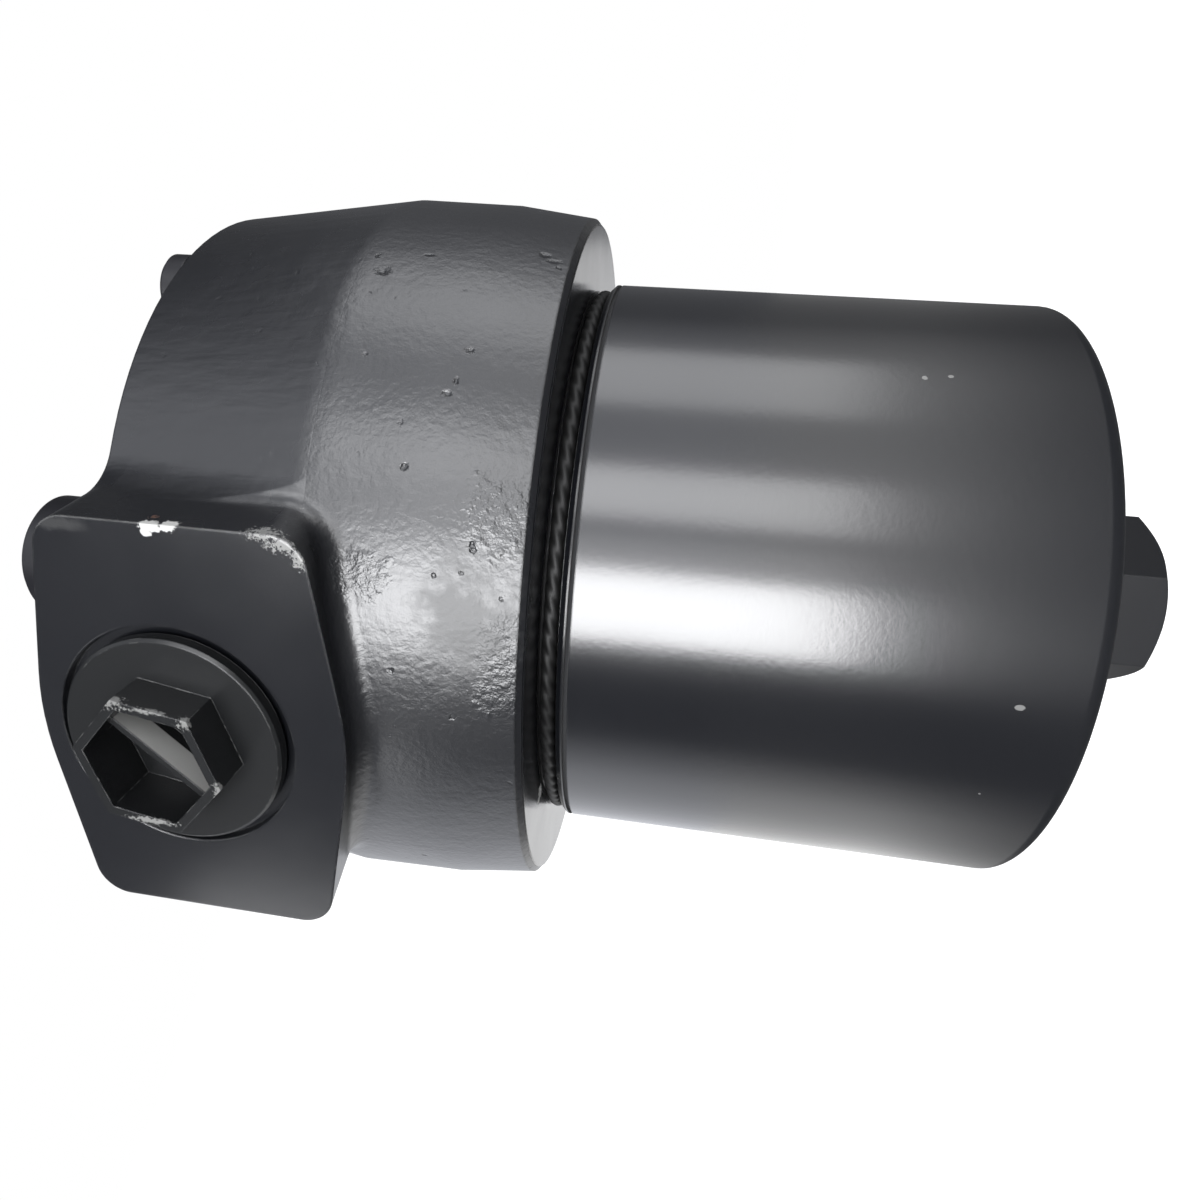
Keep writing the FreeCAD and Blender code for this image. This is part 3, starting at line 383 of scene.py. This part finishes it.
# Heights in metres of the faint grain in paint, plastic and metal
PEEL = 0.000006
FINE_PEEL = 0.000008
PLASTIC_GRAIN = 0.000006
METAL_GRAIN = 0.000008

# Chips, scuffs, dents and rough patches of the head, as (centre, radii) in mm
HEAD_CHIPS = (
    ((23.4, -67.4, -26.3), (0.9, 0.9, 1.4)),
    ((23.5, -67.2, -28.6), (0.7, 1.0, 1.2)),
    ((22.6, -67.5, -25.6), (0.6, 0.5, 0.7)),
    ((-27.4, -41.9, -72.6), (1.6, 1.6, 0.5)),
)
HEAD_RUST = (
    ((24.3, -65.6, -25.6), (0.5, 0.8, 1.0)),
    ((24.6, -64.6, -28.0), (0.4, 0.5, 0.8)),
)
HEAD_SCUFFS = (
    ((23.5, -66.8, -41.0), (0.6, 1.2, 1.8)),
    ((22.6, -67.4, -43.6), (0.9, 0.7, 1.5)),
    ((21.0, -67.5, -45.6), (1.0, 0.5, 0.8)),
    ((24.6, -63.4, -42.4), (0.4, 2.8, 0.6)),
)
HEAD_FADED = (
    ((22.6, -67.4, -13.4), (0.8, 0.6, 3.4)),
    ((26.5, -60.5, -42.8), (2.2, 4.0, 1.0)),
)
HEAD_DENTS = (
    ((52.7, -33.8, -45.6), (0.7, 0.7, 0.9)),
    ((38.7, -48.7, -59.1), (0.4, 0.4, 0.5)),
    ((40.1, -47.4, -60.0), (0.5, 0.4, 0.3)),
    ((43.7, -44.0, -61.0), (0.4, 0.4, 0.5)),
    ((54.9, -29.7, -51.3), (0.3, 0.3, 0.6)),
    ((55.4, -25.9, -67.7), (0.5, 0.5, 0.6)),
    ((54.6, -27.0, -69.2), (0.4, 0.4, 0.8)),
    ((30.0, -54.8, -55.0), (0.4, 0.4, 0.4)),
)
HEAD_ROUGH = (
    ((7.9, -60.3, -70.0), (4.5, 3.0, 3.0)),
    ((1.8, -60.8, -69.6), (3.5, 3.0, 3.0)),
    ((16.5, -60.0, -50.5), (3.0, 3.0, 3.5)),
    ((25.0, -56.0, -68.0), (6.0, 3.0, 4.0)),
)
HEAD_SMUDGE = (((11.7, -60.2, -65.0), (6.5, 5.0, 5.5)),)

# Small marks on the bowl and chips of the port plug, as (centre, radii) in mm
BOWL_MARKS = (
    ((41.5, -27.9, -123.3), (0.4, 0.4, 0.4)),
    ((41.8, -27.4, -126.9), (0.3, 0.3, 0.4)),
    ((2.3, -49.9, -138.2), (0.4, 0.4, 0.7)),
    ((30.0, -40.0, -149.0), (0.3, 0.3, 0.3)),
)
PLUG_CHIPS = (
    ((2.2, -74.6, -22.3), (1.0, 0.8, 1.3)),
    ((1.2, -74.7, -27.4), (0.3, 0.4, 3.6)),
    ((0.3, -74.8, -32.1), (0.8, 0.6, 0.9)),
    ((-9.6, -74.8, -35.9), (1.2, 0.6, 0.8)),
    ((-15.8, -74.9, -25.4), (0.4, 0.4, 2.8)),
)


def new_material(name, colour, rough, metallic=0.0, specular=0.5):
    """A material with one Principled shader, and its tree and shader to add to."""
    material = bpy.data.materials.new(name)
    material.use_nodes = True
    tree = material.node_tree
    shader = tree.nodes["Principled BSDF"]
    shader.inputs["Base Color"].default_value = (*colour, 1)
    shader.inputs["Roughness"].default_value = rough
    shader.inputs["Metallic"].default_value = metallic
    shader.inputs["Specular IOR Level"].default_value = specular
    return material, tree, shader


def rounded_normal(tree, radius):
    """The surface normal with every edge rounded to a radius in metres."""
    return add(tree, "ShaderNodeBevel", [("Radius", radius)], samples=4).outputs["Normal"]


def raise_surface(tree, shader, height, normal):
    """Bump from a height in metres over that normal."""
    links = [("Height", height), ("Strength", 1.0), ("Distance", 1.0), ("Normal", normal)]
    bump = add(tree, "ShaderNodeBump", links)
    tree.links.new(bump.outputs["Normal"], shader.inputs["Normal"])


def edge_mask(tree, normal, bent=0.86, straight=0.97):
    """0 on open surfaces, rising to 1 along the edges that a rounded normal bends over.

    bent and straight are the cosines of the bend at 1 and at 0.
    """
    flat = add(tree, "ShaderNodeNewGeometry").outputs["Normal"]
    dot = vector_calc(tree, "DOT_PRODUCT", normal, flat).outputs["Value"]
    return except_for(tree, step(tree, dot, bent, straight))


def soften(tree, z, level, half, angle):
    """Height that rounds a crease of so many degrees at a level over a half width each side."""
    away = calc(tree, "ABSOLUTE", calc(tree, "SUBTRACT", z, level))
    inside = calc(tree, "MAXIMUM", calc(tree, "SUBTRACT", half, away), 0.0)
    fall = -math.tan(math.radians(angle)) / (4 * half)
    return product(tree, calc(tree, "POWER", inside, 2.0), fall)


def wear_and_highlights(tree, colour, rows):
    """A colour with the pale one of chips, wear and painted edge highlights over it, from rows of
    (mask, share).
    """
    for mask, share in rows:
        colour = tint(tree, product(tree, mask, share), colour, PALE_CHIP_AND_HIGHLIGHT)
    return colour


def port_place(tree, x, z):
    """The place across and along from a port's axis, and the distance from it."""
    across = calc(tree, "SUBTRACT", x, PORT_X)
    along = calc(tree, "SUBTRACT", z, PORT_Z)
    return across, along, distance(tree, across, along)


def head_paint():
    """Black paint over the casting, bare metal in the chamber and the ports."""
    material, tree, shader = new_material(
        "head_paint", PAINT_BLACK, COLLAR_ROUGH, specular=PAINT_SHINE)
    place = object_place(tree)
    x, y, z = split(tree, place)
    radius = distance(tree, x, y)
    out = calc(tree, "ABSOLUTE", y)
    across, along, port_far = port_place(tree, x, z)
    normal = rounded_normal(tree, 0.5 * MM)

    neck = above(tree, z, RIDGE_Z + 2 * MM, soft=2 * MM)
    port_face = above(tree, out, PORT_FACE_Y, soft=0.04 * MM)
    in_spot_face = below(tree, port_far, SPOT_FACE_RADIUS)
    spot_face = product(tree, in_spot_face, above(tree, out, SPOT_FACE_Y))
    low = below(tree, z, FACE_Z + 0.1 * MM)
    collar_face = product(tree, low, above(tree, radius, COLLAR_FACE_RADIUS))
    machined = among(tree, port_face, spot_face, collar_face)

    in_wall = below(tree, radius, CHAMBER_RADIUS)
    chamber = product(tree, in_wall, below(tree, z, CHAMBER_TOP_Z, soft=0.4 * MM))
    port_bore = product(
        tree,
        below(tree, port_far, PORT_BORE_RADIUS),
        below(tree, out, PORT_BORE_Y),
        above(tree, out, PORT_BORE_END_Y, soft=1 * MM),
    )
    bare = among(tree, chamber, port_bore)
    painted = except_for(tree, bare)
    cast = except_for(tree, among(tree, machined, bare))

    # Paler along edges: partly worn paint, partly a painted highlight where edges catch the light;
    # strongest along the pad's edge
    edges = product(tree, edge_mask(tree, normal), painted)
    pad_edge = product(
        tree,
        edges,
        above(tree, out, PAD_EDGE_Y, soft=0.3 * MM),
        above(tree, x, PAD_EDGE_X, soft=0.8 * MM),
    )
    chance = step(tree, noise(tree, place, scale=260, detail=3, rough=0.6), 0.4, 0.62)
    worn_and_highlit = calc(tree, "MULTIPLY_ADD", pad_edge, 2.0, product(tree, edges, chance))
    chips = product(tree, spots(tree, HEAD_CHIPS, ragged=2.4), painted)
    scuffs = spots(tree, HEAD_SCUFFS, ragged=5.5, soft=0.4, fine=2200.0)
    faded = spots(tree, HEAD_FADED, ragged=1.5, soft=0.6, fine=700.0)
    rust = spots(tree, HEAD_RUST, ragged=2.2)
    smudge = spots(tree, HEAD_SMUDGE, ragged=2.6, soft=0.5, fine=260.0)
    specks = place_group(tree, "specks", Share=0.05)
    colour = tint(tree, bare, PAINT_BLACK, BARE_DARK)
    rows = [(worn_and_highlit, 0.08), (faded, 0.06), (scuffs, 0.5), (smudge, 0.05), (specks, 0.3)]
    colour = wear_and_highlights(tree, colour, rows)
    colour = tint(tree, rust, colour, RUST)
    colour = tint(tree, chips, colour, PALE_CHIP_AND_HIGHLIGHT)
    tree.links.new(colour, shader.inputs["Base Color"])
    sound = except_for(tree, among(tree, chips, rust))
    tree.links.new(product(tree, bare, sound), shader.inputs["Metallic"])

    rough = between(tree, neck, COLLAR_ROUGH, NECK_ROUGH)
    rough = between(tree, machined, rough, MACHINED_ROUGH)
    rough = between(tree, bare, rough, CHAMBER_ROUGH)
    rough = between(tree, among(tree, chips, rust, smudge), rough, WORN_ROUGH)
    rough = uneven(tree, rough, place, scale=90, swing=0.06)
    tree.links.new(rough, shader.inputs["Roughness"])

    coarse = spots(tree, HEAD_ROUGH, ragged=2.0, soft=0.4, fine=400.0)
    relief = place_group(
        tree,
        "cast_relief",
        Grain=between(tree, coarse, between(tree, neck, *CAST_GRAIN), COARSE_GRAIN),
        Lumps=CAST_LUMPS,
        Pits=between(tree, neck, *CAST_PITS),
        Drag=between(tree, neck, *CAST_DRAG),
    )
    ridge = soften(tree, z, RIDGE_Z, half=2.2 * MM, angle=8.7)
    belt = soften(tree, z, BAND_Z, half=7 * MM, angle=5.9)
    off_bosses = below(tree, radius, BOSS_RADIUS, soft=1.5 * MM)
    dents = spots(tree, HEAD_DENTS, ragged=1.8, soft=0.8)
    peel = noise(tree, place, scale=300, detail=1, rough=0.4)
    in_thread = product(
        tree,
        band(tree, radius, HEAD_THREAD_RADIUS),
        band(tree, z, HEAD_THREAD_Z, soft=0.2 * MM),
    )
    height = total(
        tree,
        product(tree, relief, cast),
        product(tree, total(tree, ridge, belt), off_bosses),
        product(tree, dents, DENT_DEPTH),
        product(tree, peel, PEEL),
        cut_thread(tree, x, y, z, BOWL_PITCH, in_thread),
        cut_thread(tree, across, along, y, PORT_PITCH, port_bore),
        product(tree, chips, CHIP_DEPTH),
    )
    raise_surface(tree, shader, height, normal)
    return material


def bowl_paint():
    """Smooth black paint over the turned bowl; bare steel on its nose, thread and inside."""
    material, tree, shader = new_material(
        "bowl_paint", PAINT_BLACK, BOWL_ROUGH, specular=PAINT_SHINE)
    place = object_place(tree)
    x, y, z = split(tree, place)
    radius = distance(tree, x, y)
    normal = rounded_normal(tree, 0.4 * MM)

    nose = above(tree, z, SHOULDER_Z + 0.2 * MM)
    over_floor = above(tree, z, BOWL_FLOOR_Z - 1.7 * MM, soft=0.3 * MM)
    inside = product(tree, below(tree, radius, BOWL_BORE_RADIUS), over_floor)
    drain = below(tree, radius, DRAIN_RADIUS)
    bare = among(tree, nose, inside, drain)
    hexagon = below(tree, z, CROWN_Z - 0.3 * MM, soft=0.3 * MM)
    line = band(tree, z, (LINE_LOW, LINE_HIGH), soft=0.05 * MM)
    line = product(tree, line, above(tree, radius, BOWL_RIM_RADIUS))

    # Paler along painted edges: partly wear, partly a painted edge highlight
    worn_and_highlit = product(tree, edge_mask(tree, normal), except_for(tree, bare))
    specks = place_group(tree, "specks", Share=0.035)
    marks = spots(tree, BOWL_MARKS, ragged=0.8)
    colour = tint(tree, bare, PAINT_BLACK, BARE_DARK)
    colour = wear_and_highlights(tree, colour, [(worn_and_highlit, 0.05), (among(tree, specks, marks), 0.35)])
    tree.links.new(colour, shader.inputs["Base Color"])
    tree.links.new(bare, shader.inputs["Metallic"])

    rough = between(tree, hexagon, BOWL_ROUGH, HEXAGON_ROUGH)
    rough = between(tree, line, rough, LINE_ROUGH)
    rough = between(tree, bare, rough, NOSE_ROUGH)
    rough = uneven(tree, rough, place, scale=60, swing=0.04)
    tree.links.new(rough, shader.inputs["Roughness"])

    threaded = product(
        tree,
        band(tree, radius, BOWL_THREAD_RADIUS),
        band(tree, z, BOWL_THREAD_Z, soft=0.2 * MM),
    )
    height = total(
        tree,
        product(tree, noise(tree, place, scale=420), PEEL),
        product(tree, noise(tree, place, scale=1300, rough=0.6), FINE_PEEL),
        cut_thread(tree, x, y, z, BOWL_PITCH, threaded),
    )
    raise_surface(tree, shader, height, normal)
    return material


def lit_rib_side(tree, place):
    """Mask of the lit side of a port plug's rib, where a highlight is painted pale."""
    x, y, z = split(tree, place)
    across, along, port_far = port_place(tree, x, z)
    down = product(tree, along, -math.cos(RIB_TURN))
    off = calc(tree, "MULTIPLY_ADD", across, math.sin(RIB_TURN), down)
    over_flange = calc(tree, "SUBTRACT", calc(tree, "ABSOLUTE", y), FLANGE_Y)
    return product(
        tree,
        band(tree, off, RIB_LIT_SIDE, soft=0.06 * MM),
        band(tree, over_flange, RIB_HEIGHT, soft=0.2 * MM),
        below(tree, port_far, RIB_REACH, soft=0.7 * MM),
    )


def moulded_plastic():
    """Black plastic with a faint grain, pale along its edges as scuffs and painted highlight, and
    with a painted highlight on its rib's lit side.
    """
    material, tree, shader = new_material("plug_plastic", PLASTIC_BLACK, 0.27)
    place = object_place(tree)
    normal = rounded_normal(tree, 0.25 * MM)
    chance = step(tree, noise(tree, place, scale=420, detail=3, rough=0.7), 0.5, 0.62)
    # Paler along edges: partly scuffs, partly a painted edge highlight
    worn_and_highlit = product(tree, edge_mask(tree, normal), chance)
    chips = spots(tree, PLUG_CHIPS, ragged=4.5, soft=0.4, fine=1800.0)
    # The rib's lit side is painted nearly full pale as a highlight
    rows = [(worn_and_highlit, 0.25), (chips, 0.4), (lit_rib_side(tree, place), 0.95)]
    pale = among(tree, *[product(tree, mask, share) for mask, share in rows])
    colour = tint(tree, pale, PLASTIC_BLACK, PALE_CHIP_AND_HIGHLIGHT)
    tree.links.new(colour, shader.inputs["Base Color"])
    grain = product(tree, noise(tree, place, scale=1500), PLASTIC_GRAIN)
    raise_surface(tree, shader, grain, normal)
    return material


def rounded_metal(name, colour, rough, metallic=1.0):
    """Plain metal with lightly broken edges and a faint grain."""
    material, tree, shader = new_material(name, colour, rough, metallic)
    grain = product(tree, noise(tree, object_place(tree), scale=900), METAL_GRAIN)
    raise_surface(tree, shader, grain, rounded_normal(tree, 0.3 * MM))
    return material


def plain(name, colour, rough, metallic=0.0):
    return new_material(name, colour, rough, metallic)[0]


MATERIALS = {
    "head_paint": head_paint(),
    "bowl_paint": bowl_paint(),
    "rubber": plain("rubber", (0.005, 0.005, 0.005), rough=0.55),
    "backup_plastic": plain("backup_plastic", (0.75, 0.73, 0.66), rough=0.5),
    "spring_steel": plain("spring_steel", (0.42, 0.42, 0.43), rough=0.35, metallic=1.0),
    "copper": rounded_metal("copper", (0.5, 0.22, 0.11), rough=0.42),
    "dark_steel": rounded_metal("dark_steel", (0.007, 0.007, 0.009), rough=0.28, metallic=0.0),
    "plug_plastic": moulded_plastic(),
    "zinc": rounded_metal("zinc", (0.55, 0.56, 0.58), rough=0.35),
    "media": plain("media", (0.7, 0.68, 0.58), rough=0.9),
}


# Pieces


def paint_nodes():
    """Every CAD node takes the material of its slot in the record."""
    for row in frame["record"]["subparts"]:
        node = frame["nodes"][row["node"]]
        node.data.materials.clear()
        node.data.materials.append(MATERIALS[row["material_slot"]])


def grid_piece(name, points, ring=True):
    """A quad surface round a grid of points: closed on itself as a ring, or capped at both ends."""
    here = np.arange(points.shape[0] * points.shape[1]).reshape(points.shape[:2])
    after = np.roll(here, -1, axis=0)
    across = np.roll(here, -1, axis=1)
    corner = np.roll(after, -1, axis=1)
    faces = np.stack([here, after, corner, across], axis=2)
    if ring:
        faces = faces.reshape(-1, 4).tolist()
    else:
        caps = [here[0].tolist(), here[-1][::-1].tolist()]
        faces = faces[:-1].reshape(-1, 4).tolist() + caps
    mesh = bpy.data.meshes.new(name)
    mesh.from_pydata(points.reshape(-1, 3).tolist(), [], faces)
    mesh.polygons.foreach_set("use_smooth", [True] * len(mesh.polygons))
    mesh.update()
    obj = bpy.data.objects.new(name, mesh)
    bpy.context.scene.collection.objects.link(obj)
    return obj


def dust_ring(crossings=96, along=12, around=18):
    """The twisted cord in the joint, closed on itself.

    Around the ring t and around the section u run from 0 to 2 pi. The section's radius is
    wire (0.8 + 0.2 |cos((3 u - crossings t) / 2)|), three strands wound about each other. The
    grid has so many points along a crossing and around the section.
    """
    low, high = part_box("dust_seal_ring")
    wire = (high.z - low.z) / 2
    centre = high.x - wire
    t = np.linspace(0, 2 * np.pi, crossings * along, endpoint=False)[:, None]
    u = np.linspace(0, 2 * np.pi, around, endpoint=False)[None, :]
    section = wire * (0.8 + 0.2 * np.abs(np.cos((3 * u - crossings * t) / 2)))
    far = centre + section * np.cos(u)
    up = (low.z + high.z) / 2 + section * np.sin(u)
    points = np.stack([far * np.cos(t), far * np.sin(t), np.broadcast_to(up, far.shape)], axis=2)
    ring = grid_piece("dust_ring_cord", points)
    ring.data.materials.append(MATERIALS["rubber"])
    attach(ring, "bowl_rings")
    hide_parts("dust_seal_ring")


def spring(node, body, wire, turns, along=60, around=12):
    """A coiled wire over the whole height of a CAD spring, which it hides.

    Along the wire t runs from 0 to 1. Its middle line is
    (r cos(2 pi turns t), r sin(2 pi turns t), low + wire + (high - low - 2 wire) t), and its
    section is a circle of radius wire in the upright plane through the axis. The grid has so
    many points along a turn and around the section.
    """
    low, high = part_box(node)
    t = np.linspace(0, 1, turns * along + 1)[:, None]
    turn = 2 * np.pi * turns * t
    u = np.linspace(0, 2 * np.pi, around, endpoint=False)[None, :]
    far = high.x - wire + wire * np.cos(u)
    up = low.z + wire + (high.z - low.z - 2 * wire) * t + wire * np.sin(u)
    points = np.stack([far * np.cos(turn), far * np.sin(turn), up], axis=2)
    coil = grid_piece(node + "_wire", points, ring=False)
    coil.data.materials.append(MATERIALS["spring_steel"])
    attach(coil, body)
    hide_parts(node)
    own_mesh(coil)


paint_nodes()
dust_ring()
spring(
    "bypass_spring", "element", wire=0.7 * MM, turns=5,
)
spring(
    "element_spring", "bowl", wire=0.9 * MM, turns=3,
)


# Stage: floor, world, lamps and camera

CENTRE = Vector((0, 0, -76 * MM))
LAMP_FAR = 0.7
LAMP_COLOUR = (0.98, 0.985, 1.0)
DAYLIGHT = (0.92, 0.94, 1.0)

# Lamps, as (name, degrees from -Y towards +X, degrees up, width, height, radiance)
LAMPS = (
    ("window_lamp", 1, 6, 0.34, 0.5, 13.0),
    ("fill_lamp", 21, 6, 0.16, 0.5, 1.3),
    ("second_lamp", 44, 6, 0.24, 0.5, 4.1),
    ("ceiling_lamp", 93, 6, 0.34, 0.5, 2.0),
    ("side_lamp", -52, 21, 0.2, 0.18, 2.2),
    ("back_lamp", -152, 8, 0.3, 0.5, 3.0),
)

# Levels of the mirrored room, as (degrees from -Y towards +X, level), and a ramp's top level
ROOM_TOP = 2.0
ROOM = (
    (-180, 0.9), (-140, 1.2), (-105, 1.3), (-80, 1.3), (-66, 0.7), (-55, 0.12), (-24, 0.06),
    (-16, 0.5), (0, 1.4), (60, 1.4), (100, 1.1), (118, 0.6), (132, 0.2), (178, 0.15),
)
HIGH_ROOM = (
    (-180, 0.15), (-60, 0.2), (-20, 0.16), (10, 0.5), (35, 1.1), (60, 1.1), (78, 0.6),
    (98, 0.22), (118, 0.08), (178, 0.08),
)

# Height of a direction, as its sine, where the high room starts and where it is full
HIGH_START = 0.34
HIGH_FULL = 0.6

# The floor in metres, and its paleness and glow to the camera and in reflections
FLOOR_HALF = 4.0
FLOOR_DROP = 0.25
FLOOR_PALE = 0.6
FLOOR_PALE_MIRRORED = 0.08
FLOOR_GLOW = 0.85
GLOW_START = 0.4
GLOW_FULL = 1.4

# The photograph's camera, solved together with the part
CAMERA_PLACE = (60.35 * MM, -160.30 * MM, -90.86 * MM)
CAMERA_TURN = (145.227, 80.219, 77.580)
CAMERA_LENS = 26.11
CAMERA_SENSOR = 36
CAMERA_SHIFT = (0.0417, -0.0167)


def softbox(name, around, up, width, height, radiance):
    """An area lamp looking at the middle of the part."""
    turn = math.radians(around)
    rise = math.radians(up)
    level = Vector((math.sin(turn), -math.cos(turn), 0))
    way = level * math.cos(rise) + Vector((0, 0, math.sin(rise)))
    side = Vector((math.cos(turn), math.sin(turn), 0))
    top = way.cross(side)
    lamp = bpy.data.lights.new(name, "AREA")
    lamp.shape = "RECTANGLE"
    lamp.size = width
    lamp.size_y = height
    lamp.energy = radiance * math.pi * width * height
    lamp.color = LAMP_COLOUR
    obj = bpy.data.objects.new(name, lamp)
    axes = Matrix((side, top, way)).transposed().to_4x4()
    obj.matrix_world = Matrix.Translation(CENTRE + way * LAMP_FAR) @ axes
    obj.visible_camera = False
    bpy.context.scene.collection.objects.link(obj)


def ramp(tree, value, stops):
    """A grey level read from stops of (place from 0 to 1, level from 0 to 1)."""
    node = add(tree, "ShaderNodeValToRGB", [("Fac", value)])
    elements = node.color_ramp.elements
    for k, (where, level) in enumerate(stops):
        stop = elements[k] if k < 2 else elements.new(where)
        stop.position = where
        stop.color = (level, level, level, 1)
    return node.outputs["Color"]


def room_level(tree, x, y, rows):
    """The room's level towards a direction or a place given by its x and y."""
    turn = calc(tree, "ARCTAN2", x, product(tree, y, -1.0))
    place = calc(tree, "MULTIPLY_ADD", turn, 1 / (2 * math.pi), 0.5)
    stops = [((degrees + 180) / 360, level / ROOM_TOP) for degrees, level in rows]
    return product(tree, ramp(tree, place, stops), ROOM_TOP)


def world_light():
    """White to the camera. Other rays see a room whose level changes with the direction."""
    world = bpy.data.worlds.new("room")
    bpy.context.scene.world = world
    world.use_nodes = True
    tree = world.node_tree
    tree.nodes.clear()
    x, y, z = split(tree, add(tree, "ShaderNodeTexCoord").outputs["Generated"])
    high = step(tree, z, HIGH_START, HIGH_FULL)
    level = between(tree, high, room_level(tree, x, y, ROOM), room_level(tree, x, y, HIGH_ROOM))
    seen = add(tree, "ShaderNodeLightPath").outputs["Is Camera Ray"]
    links = [
        ("Strength", among(tree, level, seen)),
        ("Color", tint(tree, seen, DAYLIGHT, (1, 1, 1))),
    ]
    back = add(tree, "ShaderNodeBackground", links)
    add(tree, "ShaderNodeOutputWorld", [("Surface", back.outputs[0])])


def floor():
    """A pale floor below the part, white to the camera but for the part's shadow."""
    z = BOWL_END_Z - FLOOR_DROP
    corners = [(-1, -1), (1, -1), (1, 1), (-1, 1)]
    mesh = bpy.data.meshes.new("floor")
    points = [(FLOOR_HALF * x, FLOOR_HALF * y, z) for x, y in corners]
    mesh.from_pydata(points, [], [(0, 1, 2, 3)])
    obj = bpy.data.objects.new("floor", mesh)
    bpy.context.scene.collection.objects.link(obj)
    material = bpy.data.materials.new("floor")
    material.use_nodes = True
    tree = material.node_tree
    shader = tree.nodes["Principled BSDF"]
    shader.inputs["Roughness"].default_value = 0.9
    path = add(tree, "ShaderNodeLightPath")
    seen = path.outputs["Is Camera Ray"]
    mirrored = path.outputs["Is Glossy Ray"]
    darker = FLOOR_PALE_MIRRORED - FLOOR_PALE
    pale = calc(tree, "MULTIPLY_ADD", mirrored, darker, FLOOR_PALE)
    tree.links.new(pale, shader.inputs["Base Color"])
    x, y = split(tree, object_place(tree))[:2]
    away = step(tree, distance(tree, x, y), GLOW_START, GLOW_FULL)
    bright = product(tree, away, mirrored, room_level(tree, x, y, ROOM))
    glow = calc(tree, "MULTIPLY_ADD", seen, FLOOR_GLOW, bright)
    shader.inputs["Emission Color"].default_value = (1, 1, 1, 1)
    tree.links.new(glow, shader.inputs["Emission Strength"])
    mesh.materials.append(material)


def camera():
    """The photograph's camera: close to the part, turned so that the bowl points right."""
    data = bpy.data.cameras.new("camera")
    data.lens = CAMERA_LENS
    data.sensor_width = CAMERA_SENSOR
    data.shift_x, data.shift_y = CAMERA_SHIFT
    data.clip_start = 0.01
    data.clip_end = 20
    obj = bpy.data.objects.new("camera", data)
    obj.location = CAMERA_PLACE
    obj.rotation_euler = Euler([math.radians(angle) for angle in CAMERA_TURN], "XYZ")
    bpy.context.scene.collection.objects.link(obj)
    bpy.context.scene.camera = obj


world_light()
floor()
for row in LAMPS:
    softbox(*row)
camera()

bpy.context.scene.view_settings.view_transform = "Standard"
